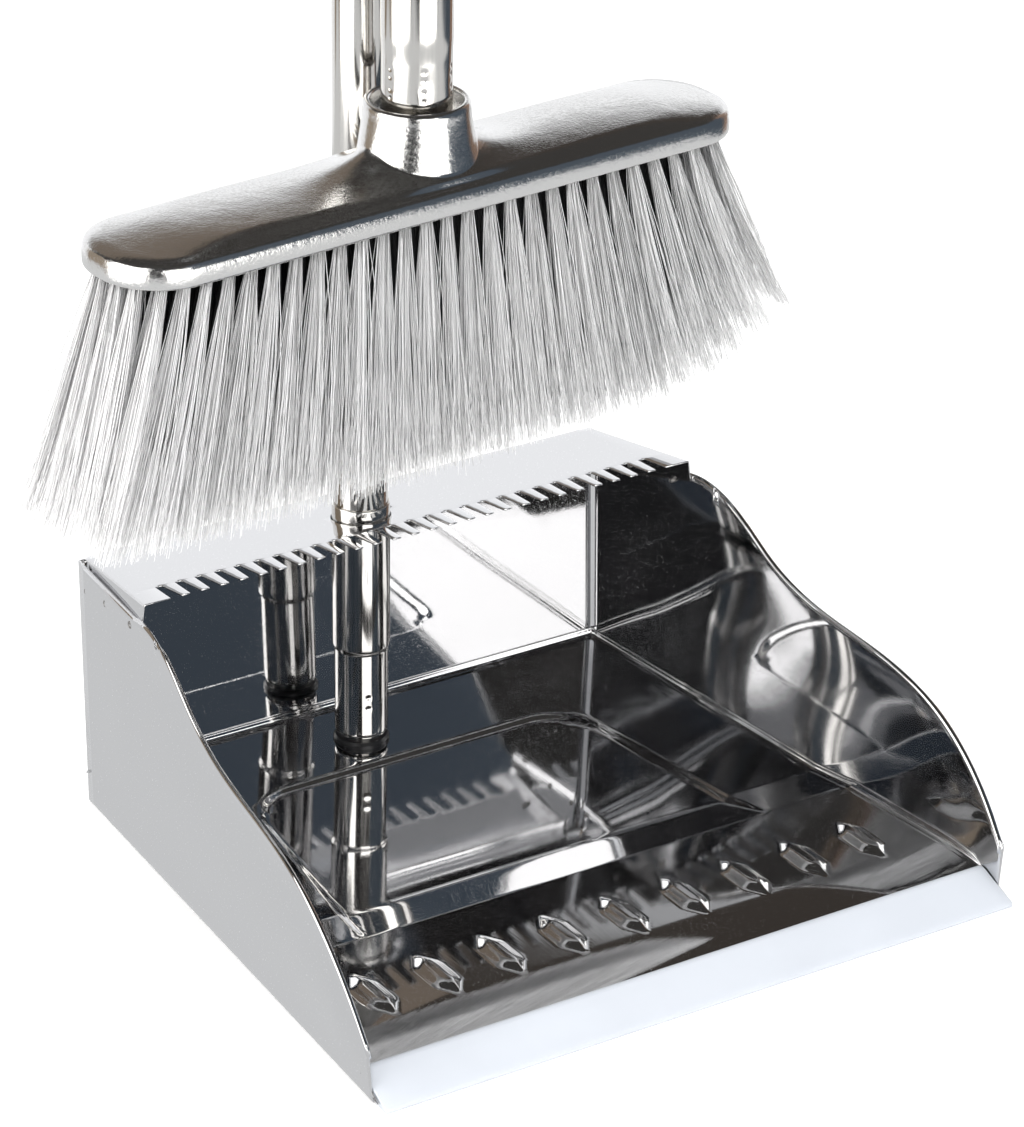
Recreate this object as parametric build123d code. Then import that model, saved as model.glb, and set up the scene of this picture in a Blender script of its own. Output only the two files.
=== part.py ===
"""Dust pan and brush set: a folded stainless-steel pan on an upright post, with a comb hood
over its back edge, and a long-handled broom held to the post by a swivelling clip.

Frame: millimetres, +Z up, the pan's open front faces -Y, the floor is Z = 0 and the origin is
the middle of the folded foot of the pan's back wall.
"""

from build123d import *
from math import cos, radians, sin
import os

# ---- pan ------------------------------------------------------------------------------
SHEET = 0.6                 # stainless sheet
BACK_Y = 6.0                # outer face of the back wall at the floor
FRONT_Y = -287.6            # front edge of the side walls
BACK_WIDTH = 280.0          # outside, at the floor
FRONT_WIDTH = 329.0
FRONT_LEAN = 0.09           # how far the front end of a side wall leans out, per unit height
BACK_LEAN = 3.4             # how far the back wall leans back at the hood
WALL_TOP = 122.6            # top of the side walls at the back
WALL_FLANGE = 8.0           # folded in under the pan
PLAN_TOP = 140.0            # height of the construction wedge
INNER_GAP = 0.05            # between a sheet and the one that lines it
BEYOND = 200.0              # half width that reaches past both side walls
FRAME_BACK = BACK_Y + 8     # the construction wedge runs from here
FRAME_FRONT = -303.0        # to here
SHOULDER = (-58.0, 124.2)   # where the wall's level top turns into its ogee edge, as y and z
OGEE_STATIONS = ((-78, 125.0), (-96, 118.5), (-120, 103.5), (-150, 92.0), (-196, 85.0), (-236, 73.0),
                 (-266, 51.0))
OGEE_END_Z = 24.0
RIVET_PLACES = ((1.5, 110.0), (-22.0, 114.6), (-51.5, 117.6))   # y and z of the rivets in a side wall

TRAY_Z = 12.2               # upper face of the floor along its ledge
TRAY_FLANGE_TOP = 15.6
BASIN_Z = 9.5
BASIN_BACK_Y = -50.0
BASIN_BACK_HALF = 89.0
BASIN_CORNER_R = 24.0
RISE_Y = -162.0             # the basin floor starts to climb to the ridge here
RIDGE_Y = -188.0
RIDGE_Z = 12.8
RIDGE_HALF = 108.0
NOSE_Y = -278.0             # the ramp folds down here
NOSE_Z = 9.5
NOSE_TIP_Y = -293.0
NOSE_TIP_Z = 2.6
LIP_Y = -299.0
LIP_THICK = 1.5

RIB_COUNT = 9
RIB_PITCH = 32.4
RIB_Y = -231.0
RIB_LENGTH = 34.0
RIB_WIDTH = 11.5
RIB_HEIGHT = 2.4

HOOD_FRONT_Y = -64.0
HOOD_BACK_Z = 124.2
HOOD_FRONT_Z = 132.6
HOOD_FLANGE = 11.0
TOOTH_COUNT = 26
TOOTH_PITCH = 10.0
TOOTH_LENGTH = 16.4
TOOTH_ROOT = 6.6
TOOTH_TIP = 4.2
RIVET_R = 2.0
RIVET_SHANK_R = 1.25
HEM_DEPTH = 3.6
HEM_THICK = 1.1
HEM_BACK_Y = -84.0
RELIEF_PLACE = (-81.5, 120.8)   # y and z of the small hole that ends the hem
RELIEF_R = 1.5

# ---- upright post ----------------------------------------------------------------------
POST_X = -12.0
POST_Y = -27.0
POST_R = 12.5
TUBE_WALL = 0.5
SLEEVE_TOP_R = 13.5
SWAGE_LOW = 60.0
SWAGE_HIGH = 66.0
SLEEVE_BOTTOM = 18.0
SLEEVE_TOP = 136.0
POST_JOINT_Z = 500.0
POST_TUBE_TOP = 850.0
POST_CAP_TOP = 888.0
SCREW_R = 4.0
SCREW_CLEARANCE = 0.3
STIFFENER_THICK = 2.0
STIFFENER_GAP = 0.1         # between the stiffener and the floor's under face
WASHER_THICK = 1.5
WASHER_R = 9.0
GASKET_R = 13.2
GASKET_HEIGHT = 3.6
PLUG_NECK_R = 9.15
PLUG_TOP = 47.0
POST_CRIMP_TURN = 254.0     # direction that the post's crimps face
POST_CRIMPS = (33.5, 39.2)  # heights of the two crimps in the post
CRIMP_BALL_R = 1.7
CRIMP_STANDOFF = 0.9
SPIGOT_HEIGHT = 38.0
JOINER_COLLAR = 3.0
CAP_PLUG = 22.0

# ---- clip ------------------------------------------------------------------------------
CLIP_Z = 600.0
CLIP_HEIGHT = 26.0
REACH = 48.0                # post axis to broom axis
RUNNING_GAP = 0.06
COLLAR_THICK = 4.0
ARM_HALF = 9.0
ARM_FRONT = 3.9             # from the broom tube to the face of the arm
JAW_GAP = 0.3
JAW_THICK = 3.0
JAW_WRAP = 0.62             # how far the jaw wraps past the tube's middle, as a share of its radius
JAW_TIP_R = 1.9
PINCH_REACH = 9.0           # from the post's wall to the pinch screw

# ---- broom -----------------------------------------------------------------------------
BROOM_X = POST_X
BROOM_Y = POST_Y - REACH
HEAD_Z = 304.4              # underside of the head's rim
HEAD_TURN = 4.9             # the head is turned a little in its clip
HEAD_LENGTH = 334.0
HEAD_WIDTH = 66.0
HEAD_CORNER_R = 30.0
RIM_HEIGHT = 12.0
HEAD_SKIN = 2.4
SOCKET_TOP = 44.0
SOCKET_RIM_R = 23.8
SOCKET_BASE_R = 26.5
SOCKET_BORE_R = 20.6
THREAD_R = 11.0
BROOM_R = 16.0
BROOM_NECK_R = 15.7
BROOM_NECK_TOP = 64.0       # above the rim's underside
BROOM_SWAGE = 12.0
BROOM_JOINT_Z = 700.0
BROOM_TUBE_TOP = 1026.0
BROOM_CAP_TOP = 1066.0
ROW_COUNT = 5
ROW_PITCH = 11.0
TUFTS_PER_ROW = 27
BRISTLE_LENGTH = 118.0
BRISTLE_ROOT_HALF = 156.0
BRISTLE_TIP_HALF = 200.0
BLOCK_SCREW_X = (-135.0, -60.0, 60.0, 135.0)
BLOCK_SCREW_R = 1.6
BLOCK_SCREW_TOP = 12.0
BROOM_CRIMP_TURN = 250.0
BROOM_CRIMP_COUNT = 6
BROOM_CRIMPS = (50.0, 59.0)   # heights of the two crimps in each line
STAPLE_ROWS = (0, 1, 3, 4)
STAPLE_STEP = 3             # a plate at every third tuft


# ---- small helpers ---------------------------------------------------------------------
def yz_prism(outline, x0, x1):
    """A closed outline of (y, z) points pushed along X."""
    face = make_face(Plane.YZ * Polyline(*outline, close=True))
    return Pos(x0, 0, 0) * extrude(face, amount=x1 - x0, dir=(1, 0, 0))


def span_box(low, high):
    """A box from its lowest to its highest corner."""
    size = [high[i] - low[i] for i in range(3)]
    centre = [(high[i] + low[i]) / 2 for i in range(3)]
    return Pos(*centre) * Box(*size)


def turned(outline, x=0.0, y=0.0):
    """A closed outline of (radius, z) points turned about a vertical axis at x, y."""
    face = make_face(Plane.XZ * Polyline(*outline, close=True))
    return Pos(x, y, 0) * revolve(face, axis=Axis.Z)


def tube(radius, bore, z0, z1, x=0.0, y=0.0):
    """A plain ring or tube standing on z0."""
    height = z1 - z0
    ring = Circle(radius) - Circle(bore)
    return Pos(x, y, z0) * extrude(ring, amount=height)


def rod(radius, z0, z1, x=0.0, y=0.0):
    """A plain round bar standing on z0."""
    return Pos(x, y, z0) * extrude(Circle(radius), amount=z1 - z0)


# ---- the pan's flared, leaning sides -----------------------------------------------------
def half_width(y, z):
    """Outer half width of the pan at a depth and a height."""
    run = (BACK_Y - y) / (BACK_Y - FRONT_Y)
    return BACK_WIDTH / 2 + (FRONT_WIDTH - BACK_WIDTH) / 2 * run + FRONT_LEAN * run * z


def interior(inset, z0=-2.0, z1=PLAN_TOP):
    """Everything between the two side walls, less an inset."""
    sections = []
    for y in (FRAME_BACK, FRAME_FRONT):
        low = half_width(y, z0) - inset
        high = half_width(y, z1) - inset
        corners = [(-low, y, z0), (low, y, z0), (high, y, z1), (-high, y, z1)]
        sections.append(make_face(Polyline(*corners, close=True)))
    return loft(sections, ruled=True)


def side_skin(inset, thick):
    """A skin that follows the left side wall, from an inset inwards."""
    sections = []
    for y in (FRAME_BACK, FRAME_FRONT):
        corners = []
        for depth, z in ((inset, -2), (inset, PLAN_TOP), (inset + thick, PLAN_TOP), (inset + thick, -2)):
            corners.append((depth - half_width(y, z), y, z))
        sections.append(make_face(Polyline(*corners, close=True)))
    return loft(sections, ruled=True)


def wall_outline(shift_y=0.0, shift_z=0.0):
    """The side wall's outline in depth and height: square at the back, an ogee to the front."""
    top = [(BACK_Y + BACK_LEAN, WALL_TOP), SHOULDER]
    ogee = [SHOULDER, *OGEE_STATIONS, (FRONT_Y, OGEE_END_Z)]
    base = [(FRONT_Y, OGEE_END_Z), (FRONT_Y, 0), (BACK_Y, 0), (BACK_Y + BACK_LEAN, WALL_TOP)]
    outline = Polyline(*top) + Spline(*ogee) + Polyline(*base)
    return Pos(0, shift_y, shift_z) * make_face(Plane.YZ * outline)


def wall_block(shift_y=0.0, shift_z=0.0):
    """The wall's outline pushed right across the pan."""
    outline = wall_outline(shift_y, shift_z)
    return Pos(-BEYOND, 0, 0) * extrude(outline, amount=2 * BEYOND, dir=(1, 0, 0))


def wall_hole(side, y, z, radius):
    """A round cutter through a side wall: side is -1 on the left, 1 on the right."""
    return Pos(side * half_width(y, z), y, z) * Rot(0, 90, 0) * Cylinder(radius, 12)


def side_wall():
    """The left side wall, with its bottom flange folded in and its rivet holes."""
    wall = side_skin(0, SHEET) & wall_block()
    under = side_skin(SHEET, WALL_FLANGE) & span_box((-BEYOND, NOSE_Y + 10, 0), (BEYOND, -6, SHEET))
    wall = wall + under
    for y, z in RIVET_PLACES:
        wall -= wall_hole(-1, y, z, RIVET_R)
    return wall - wall_hole(-1, *RELIEF_PLACE, RELIEF_R)


def edge_hem():
    """The strip folded over inside the left wall's front edge."""
    band = wall_block() - wall_block(HEM_DEPTH * 2 / 3, -HEM_DEPTH)
    reach = span_box((-BEYOND, FRONT_Y - 1, OGEE_END_Z - 4), (BEYOND, HEM_BACK_Y, PLAN_TOP))
    return side_skin(SHEET + INNER_GAP, HEM_THICK) & band & reach


def back_wall():
    """The back wall, leaning back a little, with its bottom flange folded in."""
    lean = BACK_LEAN / WALL_TOP
    inner_top = (BACK_Y + BACK_LEAN - SHEET, WALL_TOP)
    outline = [(BACK_Y, 0), (BACK_Y + BACK_LEAN, WALL_TOP), inner_top,
               (BACK_Y - SHEET + lean * SHEET, SHEET), (BACK_Y - 11, SHEET), (BACK_Y - 11, 0)]
    return yz_prism(outline, -BEYOND, BEYOND) & interior(SHEET + INNER_GAP)


# ---- floor tray ------------------------------------------------------------------------
def basin():
    """The shallow pocket pressed into the floor, with a draft all round and a rising front."""
    draft = 3
    slope = (RIDGE_HALF - BASIN_BACK_HALF) / (BASIN_BACK_Y - RIDGE_Y)
    back = BASIN_BACK_HALF - draft
    front = RIDGE_HALF + draft * slope
    plan = make_face(Polyline((-back, BASIN_BACK_Y - draft), (back, BASIN_BACK_Y - draft),
                              (front, RIDGE_Y - draft), (-front, RIDGE_Y - draft), close=True))
    corners = plan.vertices().group_by(Axis.Y)[-1]
    plan = fillet(corners, BASIN_CORNER_R)
    pocket = extrude(Pos(0, 0, BASIN_Z) * plan, amount=6, taper=-45)
    climb = [(RISE_Y, BASIN_Z - 2), (RISE_Y, BASIN_Z), (RIDGE_Y, RIDGE_Z + 0.01), (RIDGE_Y - 20, RIDGE_Z + 3),
             (RIDGE_Y - 20, BASIN_Z - 2)]
    return pocket - yz_prism(climb, -BEYOND, BEYOND)


def rib(x):
    """One pressed rib of the ramp: a long hexagon with a narrow flat crest."""
    def hexagon(length, width, z):
        nose = length / 2 - width / 2
        points = [(0, length / 2), (width / 2, nose), (width / 2, -nose), (0, -length / 2),
                  (-width / 2, -nose), (-width / 2, nose)]
        return Pos(x, RIB_Y, z) * make_face(Polyline(*points, close=True))
    slope = (RIDGE_Z - NOSE_Z) / (RIDGE_Y - NOSE_Y)
    ground = NOSE_Z + slope * (RIB_Y - NOSE_Y)
    sections = [hexagon(RIB_LENGTH + 4, RIB_WIDTH + 2, -1), hexagon(RIB_LENGTH - 10, 4, RIB_HEIGHT)]
    return Pos(0, 0, ground) * loft(sections, ruled=True)


def tray_block():
    """Everything under the floor's upper face."""
    back = BACK_Y - SHEET - 0.1
    outline = [(back, TRAY_Z), (RISE_Y, TRAY_Z), (RIDGE_Y, RIDGE_Z), (NOSE_Y, NOSE_Z),
               (NOSE_TIP_Y, NOSE_TIP_Z), (NOSE_TIP_Y, -30), (back, -30)]
    block = yz_prism(outline, -BEYOND, BEYOND) - basin()
    for index in range(RIB_COUNT):
        block += rib((index - (RIB_COUNT - 1) / 2) * RIB_PITCH)
    return block


def floor_tray():
    """The pressed floor: ledge, basin, ridge, ribbed ramp and folded nose, with low side flanges."""
    block = tray_block()
    sheet = block - Pos(0, 0, -SHEET) * block
    sheet = sheet & interior(SHEET + INNER_GAP)
    rim = interior(SHEET + INNER_GAP) - interior(2 * SHEET)
    foot = TRAY_Z - 0.4
    back_y = BACK_Y - SHEET - 0.1
    rim = rim & span_box((-BEYOND, NOSE_Y, foot), (BEYOND, back_y, TRAY_FLANGE_TOP))
    back = span_box((-BEYOND, back_y - SHEET, foot), (BEYOND, back_y, TRAY_FLANGE_TOP))
    tray = sheet + rim + (back & interior(SHEET + INNER_GAP))
    return tray - rod(SCREW_R + SCREW_CLEARANCE, 0, 20, POST_X, POST_Y)


def front_lip(tray):
    """The white rubber lip that grips the folded nose and meets the ground."""
    outline = [(NOSE_Y + 4, NOSE_Z - 0.2), (NOSE_Y + 1, NOSE_Z + LIP_THICK), (LIP_Y, 1.8), (LIP_Y, 0),
               (NOSE_TIP_Y + 3, 0), (NOSE_Y + 1, NOSE_Z - 3.2), (NOSE_Y + 1, NOSE_Z - 0.4)]
    return (yz_prism(outline, -BEYOND, BEYOND) & interior(SHEET + 0.3)) - tray


# ---- comb hood -------------------------------------------------------------------------
def hood_z(y):
    """Upper face of the hood at a depth."""
    back = BACK_Y + BACK_LEAN
    return HOOD_BACK_Z + (HOOD_FRONT_Z - HOOD_BACK_Z) * (back - y) / (back - HOOD_FRONT_Y)


def comb_notches():
    """The gaps between the teeth of the hood's front edge."""
    gaps = Part()
    for index in range(TOOTH_COUNT + 1):
        x = (index - TOOTH_COUNT / 2) * TOOTH_PITCH
        root = (TOOTH_PITCH - TOOTH_ROOT) / 2
        mouth = (TOOTH_PITCH - TOOTH_TIP) / 2
        back = HOOD_FRONT_Y + TOOTH_LENGTH
        front = HOOD_FRONT_Y - 1
        corners = [(x - root, back), (x + root, back), (x + mouth, front), (x - mouth, front)]
        gaps += Pos(0, 0, 100) * extrude(make_face(Polyline(*corners, close=True)), amount=60)
    return gaps


def comb_hood():
    """The folded hood: a comb along its front edge, and a flange down each side and the back."""
    back = BACK_Y + BACK_LEAN - SHEET - 0.1
    top = [(back, hood_z(back)), (HOOD_FRONT_Y, HOOD_FRONT_Z), (HOOD_FRONT_Y, HOOD_FRONT_Z - SHEET),
           (back, hood_z(back) - SHEET)]
    plate = yz_prism(top, -BEYOND, BEYOND) & interior(SHEET + INNER_GAP)
    side = [(back, hood_z(back)), (HOOD_FRONT_Y, HOOD_FRONT_Z), (HOOD_FRONT_Y, HOOD_FRONT_Z - HOOD_FLANGE),
            (back - 1.2, hood_z(back) - 2 * HOOD_FLANGE)]
    cheeks = interior(SHEET + INNER_GAP) - interior(2 * SHEET)
    cheeks = cheeks & yz_prism(side, -BEYOND, BEYOND)
    rear_foot = hood_z(back) - HOOD_FLANGE
    rear = [(back, hood_z(back)), (back - SHEET, hood_z(back)), (back - SHEET - 0.4, rear_foot),
            (back - 0.4, rear_foot)]
    tail = yz_prism(rear, -BEYOND, BEYOND) & interior(SHEET + INNER_GAP)
    hood = (plate - comb_notches()) + cheeks + tail
    hood -= rod(SLEEVE_TOP_R + 0.6, 100, 160, POST_X, POST_Y)
    for hand in (-1, 1):
        for y, z in RIVET_PLACES:
            hood -= wall_hole(hand, y, z, RIVET_SHANK_R + 0.15)
    return hood


def hood_rivets():
    """Six blind rivets that hold the hood to the side walls, with their heads in the wall holes."""
    head = rod(RIVET_R - 0.15, -0.4, -0.05)
    shank = rod(RIVET_SHANK_R, -2.6, -0.4)
    tail = rod(RIVET_R, -2.6, -1.7)
    rivet = head + shank + tail
    rivets = []
    for hand in (-1, 1):
        for y, z in RIVET_PLACES:
            rivets.append(Pos(hand * half_width(y, z), y, z) * Rot(0, 90 * hand, 0) * rivet)
    return rivets


# ---- post ------------------------------------------------------------------------------
def floor_stiffener():
    """The plate under the floor that spreads the post's load."""
    middle_z = TRAY_Z - SHEET - STIFFENER_GAP - STIFFENER_THICK / 2
    plate = Pos(POST_X, POST_Y, middle_z) * Box(70, 34, STIFFENER_THICK)
    plate = fillet(plate.edges().filter_by(Axis.Z), 6)
    return plate - rod(SCREW_R + SCREW_CLEARANCE, 0, 20, POST_X, POST_Y)


def stiffener_foot():
    """Height of the stiffener's under face, where the washer sits."""
    return TRAY_Z - SHEET - STIFFENER_GAP - STIFFENER_THICK


def post_screw():
    """The hexagon screw that pulls the post down from under the floor."""
    under = stiffener_foot() - WASHER_THICK
    head_height = 5.3
    head = Pos(POST_X, POST_Y, under - head_height) * extrude(RegularPolygon(7.5, 6), amount=head_height)
    return head + rod(SCREW_R, under, 40, POST_X, POST_Y)


def post_washer():
    """The plain washer under the screw's head."""
    top = stiffener_foot()
    return tube(WASHER_R, SCREW_R + SCREW_CLEARANCE, top - WASHER_THICK, top, POST_X, POST_Y)


def post_gasket():
    """The black rubber ring between the post and the floor."""
    bore = PLUG_NECK_R + INNER_GAP
    top = TRAY_Z + GASKET_HEIGHT
    outline = [(bore, TRAY_Z), (GASKET_R, TRAY_Z), (GASKET_R, top - 1.4), (GASKET_R - 1, top), (bore, top)]
    return turned(outline, POST_X, POST_Y)


def post_plug():
    """The turned plug pressed into the post's foot; its neck shows above the gasket."""
    bore = POST_R - TUBE_WALL
    thread_end = PLUG_TOP - 5
    outline = [(SCREW_R, TRAY_Z), (PLUG_NECK_R, TRAY_Z), (PLUG_NECK_R, SLEEVE_BOTTOM), (bore, SLEEVE_BOTTOM),
               (bore, PLUG_TOP - 1), (bore - 1, PLUG_TOP), (0, PLUG_TOP), (0, thread_end),
               (SCREW_R, thread_end)]
    return turned(outline, POST_X, POST_Y)


def crimp_dot(x, y, radius, z, turn):
    """A small round dent in a tube wall, as a punch leaves."""
    angle = radians(turn)
    reach = radius + CRIMP_STANDOFF
    return Pos(x + reach * cos(angle), y + reach * sin(angle), z) * Sphere(CRIMP_BALL_R)


def post_sleeve():
    """The post's foot tube, swelled at the top to take the handle tube, and passed through the hood."""
    bore = POST_R - TUBE_WALL
    top_bore = POST_R + INNER_GAP
    outline = [(bore, SLEEVE_BOTTOM), (POST_R - 0.2, SLEEVE_BOTTOM), (POST_R, SLEEVE_BOTTOM + 1.2),
               (POST_R, SWAGE_LOW), (SLEEVE_TOP_R, SWAGE_HIGH), (SLEEVE_TOP_R, SLEEVE_TOP - 0.6),
               (SLEEVE_TOP_R - 0.4, SLEEVE_TOP), (top_bore, SLEEVE_TOP), (top_bore, SWAGE_HIGH + 0.5),
               (bore, SWAGE_LOW + 0.5)]
    sleeve = turned(outline, POST_X, POST_Y)
    for z in POST_CRIMPS:
        sleeve -= crimp_dot(POST_X, POST_Y, POST_R, z, POST_CRIMP_TURN)
    return sleeve


def handle_cap(radius, bore, z0, z1, x, y):
    """A moulded end cap: a plug in the tube, and a flattened crown with a hanging hole."""
    crown_r = radius + 0.8
    plug = rod(bore - 0.1, z0 - CAP_PLUG, z0, x, y)
    crown = rod(crown_r, z0, z1, x, y)
    crown = fillet(crown.edges().group_by(Axis.Z)[-1], crown_r * 0.55)
    crown = fillet(crown.edges().group_by(Axis.Z)[0], 0.6)
    hole_z = (z0 + z1) / 2 + 2
    slot = extrude(SlotOverall(20, 9, rotation=90), amount=2 * crown_r, both=True)
    hole = Pos(x, y, hole_z) * Rot(90, 0, 0) * slot
    flat_depth = crown_r * 0.45
    for side in (-1, 1):
        low = (x - 40, min(y + side * flat_depth, y + side * 40), z0 + 6)
        high = (x + 40, max(y + side * flat_depth, y + side * 40), z1 + 5)
        crown -= span_box(low, high)
    return plug + crown - hole


def joiner(radius, bore, z, x, y):
    """The moulded joiner between two handle tubes: a plug, a collar, and a threaded spigot above."""
    plug = rod(bore - INNER_GAP, z - 40, z, x, y)
    collar = rod(radius + 0.5, z, z + JOINER_COLLAR, x, y)
    collar = fillet(collar.edges(), 0.6)
    spigot = rod(bore - 2.6, z + JOINER_COLLAR, z + SPIGOT_HEIGHT, x, y)
    return plug + collar + spigot


def ferrule(bore, z, x, y):
    """The threaded bush fixed in the upper tube, which screws on to the joiner."""
    return tube(bore - INNER_GAP, bore - 2.55, z + JOINER_COLLAR, z + SPIGOT_HEIGHT + 4, x, y)


# ---- clip ------------------------------------------------------------------------------
def clip_collar():
    """The collar that turns on the post, split at the back, with an arm towards the broom."""
    z0 = CLIP_Z - CLIP_HEIGHT / 2
    z1 = CLIP_Z + CLIP_HEIGHT / 2
    arm_front = BROOM_Y + BROOM_R + ARM_FRONT
    back = POST_Y + POST_R
    ring = rod(POST_R + COLLAR_THICK, z0, z1, POST_X, POST_Y)
    arm = span_box((POST_X - ARM_HALF, arm_front, z0 + 2), (POST_X + ARM_HALF, POST_Y - POST_R, z1 - 2))
    ears = span_box((POST_X - 7, back, z0 + 4), (POST_X + 7, back + 15, z1 - 4))
    body = ring + arm + ears
    body -= rod(POST_R + RUNNING_GAP, z0 - 1, z1 + 1, POST_X, POST_Y)
    body -= span_box((POST_X - 1, POST_Y, z0 - 1), (POST_X + 1, POST_Y + 40, z1 + 1))
    body -= Pos(POST_X, back + PINCH_REACH, CLIP_Z) * Rot(0, 90, 0) * Cylinder(2.2, 30)
    body -= Pos(POST_X, BROOM_Y + BROOM_R + 8, CLIP_Z) * Rot(90, 0, 0) * Cylinder(1.55, 9)
    return body


def clip_jaw():
    """The springy C-shaped jaw that the broom's tube snaps into."""
    inner = BROOM_R + JAW_GAP
    tip_reach = inner + JAW_TIP_R
    z0 = CLIP_Z - CLIP_HEIGHT / 2
    z1 = CLIP_Z + CLIP_HEIGHT / 2
    ring = tube(inner + JAW_THICK, inner, z0, z1, BROOM_X, BROOM_Y)
    pad_low = (BROOM_X - ARM_HALF, BROOM_Y + inner + 0.4, z0 + 2)
    pad_high = (BROOM_X + ARM_HALF, BROOM_Y + BROOM_R + ARM_FRONT, z1 - 2)
    mouth_y = BROOM_Y - JAW_WRAP * inner
    mouth = span_box((BROOM_X - 40, BROOM_Y - 40, z0 - 1), (BROOM_X + 40, mouth_y, z1 + 1))
    jaw = ring + span_box(pad_low, pad_high) - mouth
    tip_x = tip_reach * (1 - JAW_WRAP ** 2) ** 0.5
    for side in (-1, 1):
        jaw += rod(JAW_TIP_R, z0, z1, BROOM_X + side * tip_x, BROOM_Y - JAW_WRAP * tip_reach)
    jaw -= Pos(BROOM_X, BROOM_Y + BROOM_R + 2, CLIP_Z) * Rot(90, 0, 0) * Cylinder(1.8, 8)
    jaw -= Pos(BROOM_X, BROOM_Y + inner + 0.9, CLIP_Z) * Rot(90, 0, 0) * Cylinder(3.7, 2.4)
    return jaw


def clip_screw():
    """The small screw that holds the jaw to the collar's arm."""
    seat = BROOM_Y + BROOM_R + JAW_GAP + 2.1
    head = Pos(BROOM_X, seat - 0.75, CLIP_Z) * Rot(90, 0, 0) * Cylinder(3.4, 1.5)
    shank = Pos(BROOM_X, seat + 4.5, CLIP_Z) * Rot(90, 0, 0) * Cylinder(1.5, 9)
    return head + shank


def pinch_screw():
    """The cross screw that sets how firmly the collar grips the post."""
    y = POST_Y + POST_R + PINCH_REACH
    shank = Pos(POST_X + 1.0, y, CLIP_Z) * Rot(0, 90, 0) * Cylinder(2.0, 20)
    head = Pos(POST_X - 8.6, y, CLIP_Z) * Rot(0, 90, 0) * Cylinder(4.0, 3.0)
    head = fillet(head.edges().group_by(Axis.X)[0], 1.2)
    return head + shank


def pinch_nut():
    """The hexagon nut on the pinch screw."""
    y = POST_Y + POST_R + PINCH_REACH
    nut = extrude(RegularPolygon(4.6, 6), amount=3.2) - extrude(Circle(2.05), amount=3.2)
    return Pos(POST_X + 7.1, y, CLIP_Z) * Rot(0, 90, 0) * nut


# ---- broom -----------------------------------------------------------------------------
def in_head(shape):
    """Place a shape drawn about the broom's axis, with the rim's underside at zero."""
    return Location((BROOM_X, BROOM_Y, HEAD_Z), (0, 0, HEAD_TURN)) * shape


def head_outline(inset):
    """The head's rounded plan, drawn in by an inset."""
    return RectangleRounded(HEAD_LENGTH - 2 * inset, HEAD_WIDTH - 2 * inset, HEAD_CORNER_R - inset)


def head_shell():
    """The chromed head: a rimmed block with a flared socket for the handle."""
    body = extrude(head_outline(0), amount=RIM_HEIGHT + 3)
    body = fillet(body.edges().group_by(Axis.Z)[-1], 4.5)
    body = fillet(body.edges().group_by(Axis.Z)[0], 1.2)
    flare = [(0, 10), (44, 10), (44, 14.6), (34, 15.6), (29.5, 17.5), (SOCKET_BASE_R, 20.5),
             (SOCKET_RIM_R, 40), (SOCKET_RIM_R, SOCKET_TOP - 1), (SOCKET_RIM_R - 1, SOCKET_TOP),
             (0, SOCKET_TOP)]
    cone = turned(flare) & extrude(head_outline(1.0), amount=SOCKET_TOP + 1)
    body = body + cone
    body -= extrude(head_outline(HEAD_SKIN), amount=9)
    body -= rod(SOCKET_BORE_R, 30, SOCKET_TOP + 1)
    body -= rod(14.0, 8, 31)
    return in_head(body)


def bristle_block():
    """The moulded block that fills the head and carries the tufts."""
    block = extrude(head_outline(HEAD_SKIN + 0.1), amount=8.0)
    block = Pos(0, 0, 1.0) * block
    return in_head(block)


def block_screws():
    """Four screws that hold the block up into the head."""
    screws = []
    for x in BLOCK_SCREW_X:
        shank = rod(BLOCK_SCREW_R, 1.0, BLOCK_SCREW_TOP, x, 0)
        head = rod(3.4, -1.0, 1.0, x, 0)
        screws.append(in_head(head + shank))
    return screws


def screw_holes():
    """Clearance in the block and the head for the four screws."""
    holes = Part()
    for x in BLOCK_SCREW_X:
        holes += rod(BLOCK_SCREW_R, 0.5, BLOCK_SCREW_TOP, x, 0)
    return in_head(holes)


def row_offset(row):
    """How far a row of tufts lies from the head's long centre line."""
    return (row - (ROW_COUNT - 1) / 2) * ROW_PITCH


def bristle_row(row):
    """The room that one row of tufts takes: a fan that is longer and thicker at its tips."""
    y = row_offset(row)
    lean = 0.30 * y if y < 0 else 0.10 * y
    corner_loss = 1.6 * abs(row - ROW_COUNT // 2)
    waist_z = -0.62 * BRISTLE_LENGTH
    root = Pos(0, y, 0.9) * Rectangle(2 * (BRISTLE_ROOT_HALF - corner_loss), 4.0)
    waist = Pos(0, y + lean * 0.5, waist_z) * Rectangle(2 * (BRISTLE_TIP_HALF - 12), 6.0)
    tips = Pos(0, y + lean, -BRISTLE_LENGTH) * Rectangle(2 * (BRISTLE_TIP_HALF - 30), 7.0)
    fan = loft([root, waist], ruled=True) + loft([waist, tips], ruled=True)
    if row == ROW_COUNT // 2:
        for x in BLOCK_SCREW_X:
            fan -= rod(3.8, -1.4, 1.2, x, 0)
    return in_head(fan)


def tuft_staples():
    """The little anchor plates that hold the tufts in the block."""
    staples = []
    pitch = 2 * BRISTLE_ROOT_HALF / TUFTS_PER_ROW
    for row in STAPLE_ROWS:
        for index in range(1, TUFTS_PER_ROW, STAPLE_STEP):
            x = (index - (TUFTS_PER_ROW - 1) / 2) * pitch
            staples.append(in_head(Pos(x, row_offset(row), 4.5) * Box(3.0, 0.4, 3.0)))
    return staples


def staple_slots():
    """The slots that the anchor plates sit in."""
    slots = Part()
    for staple in tuft_staples():
        slots += staple
    return slots


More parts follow.
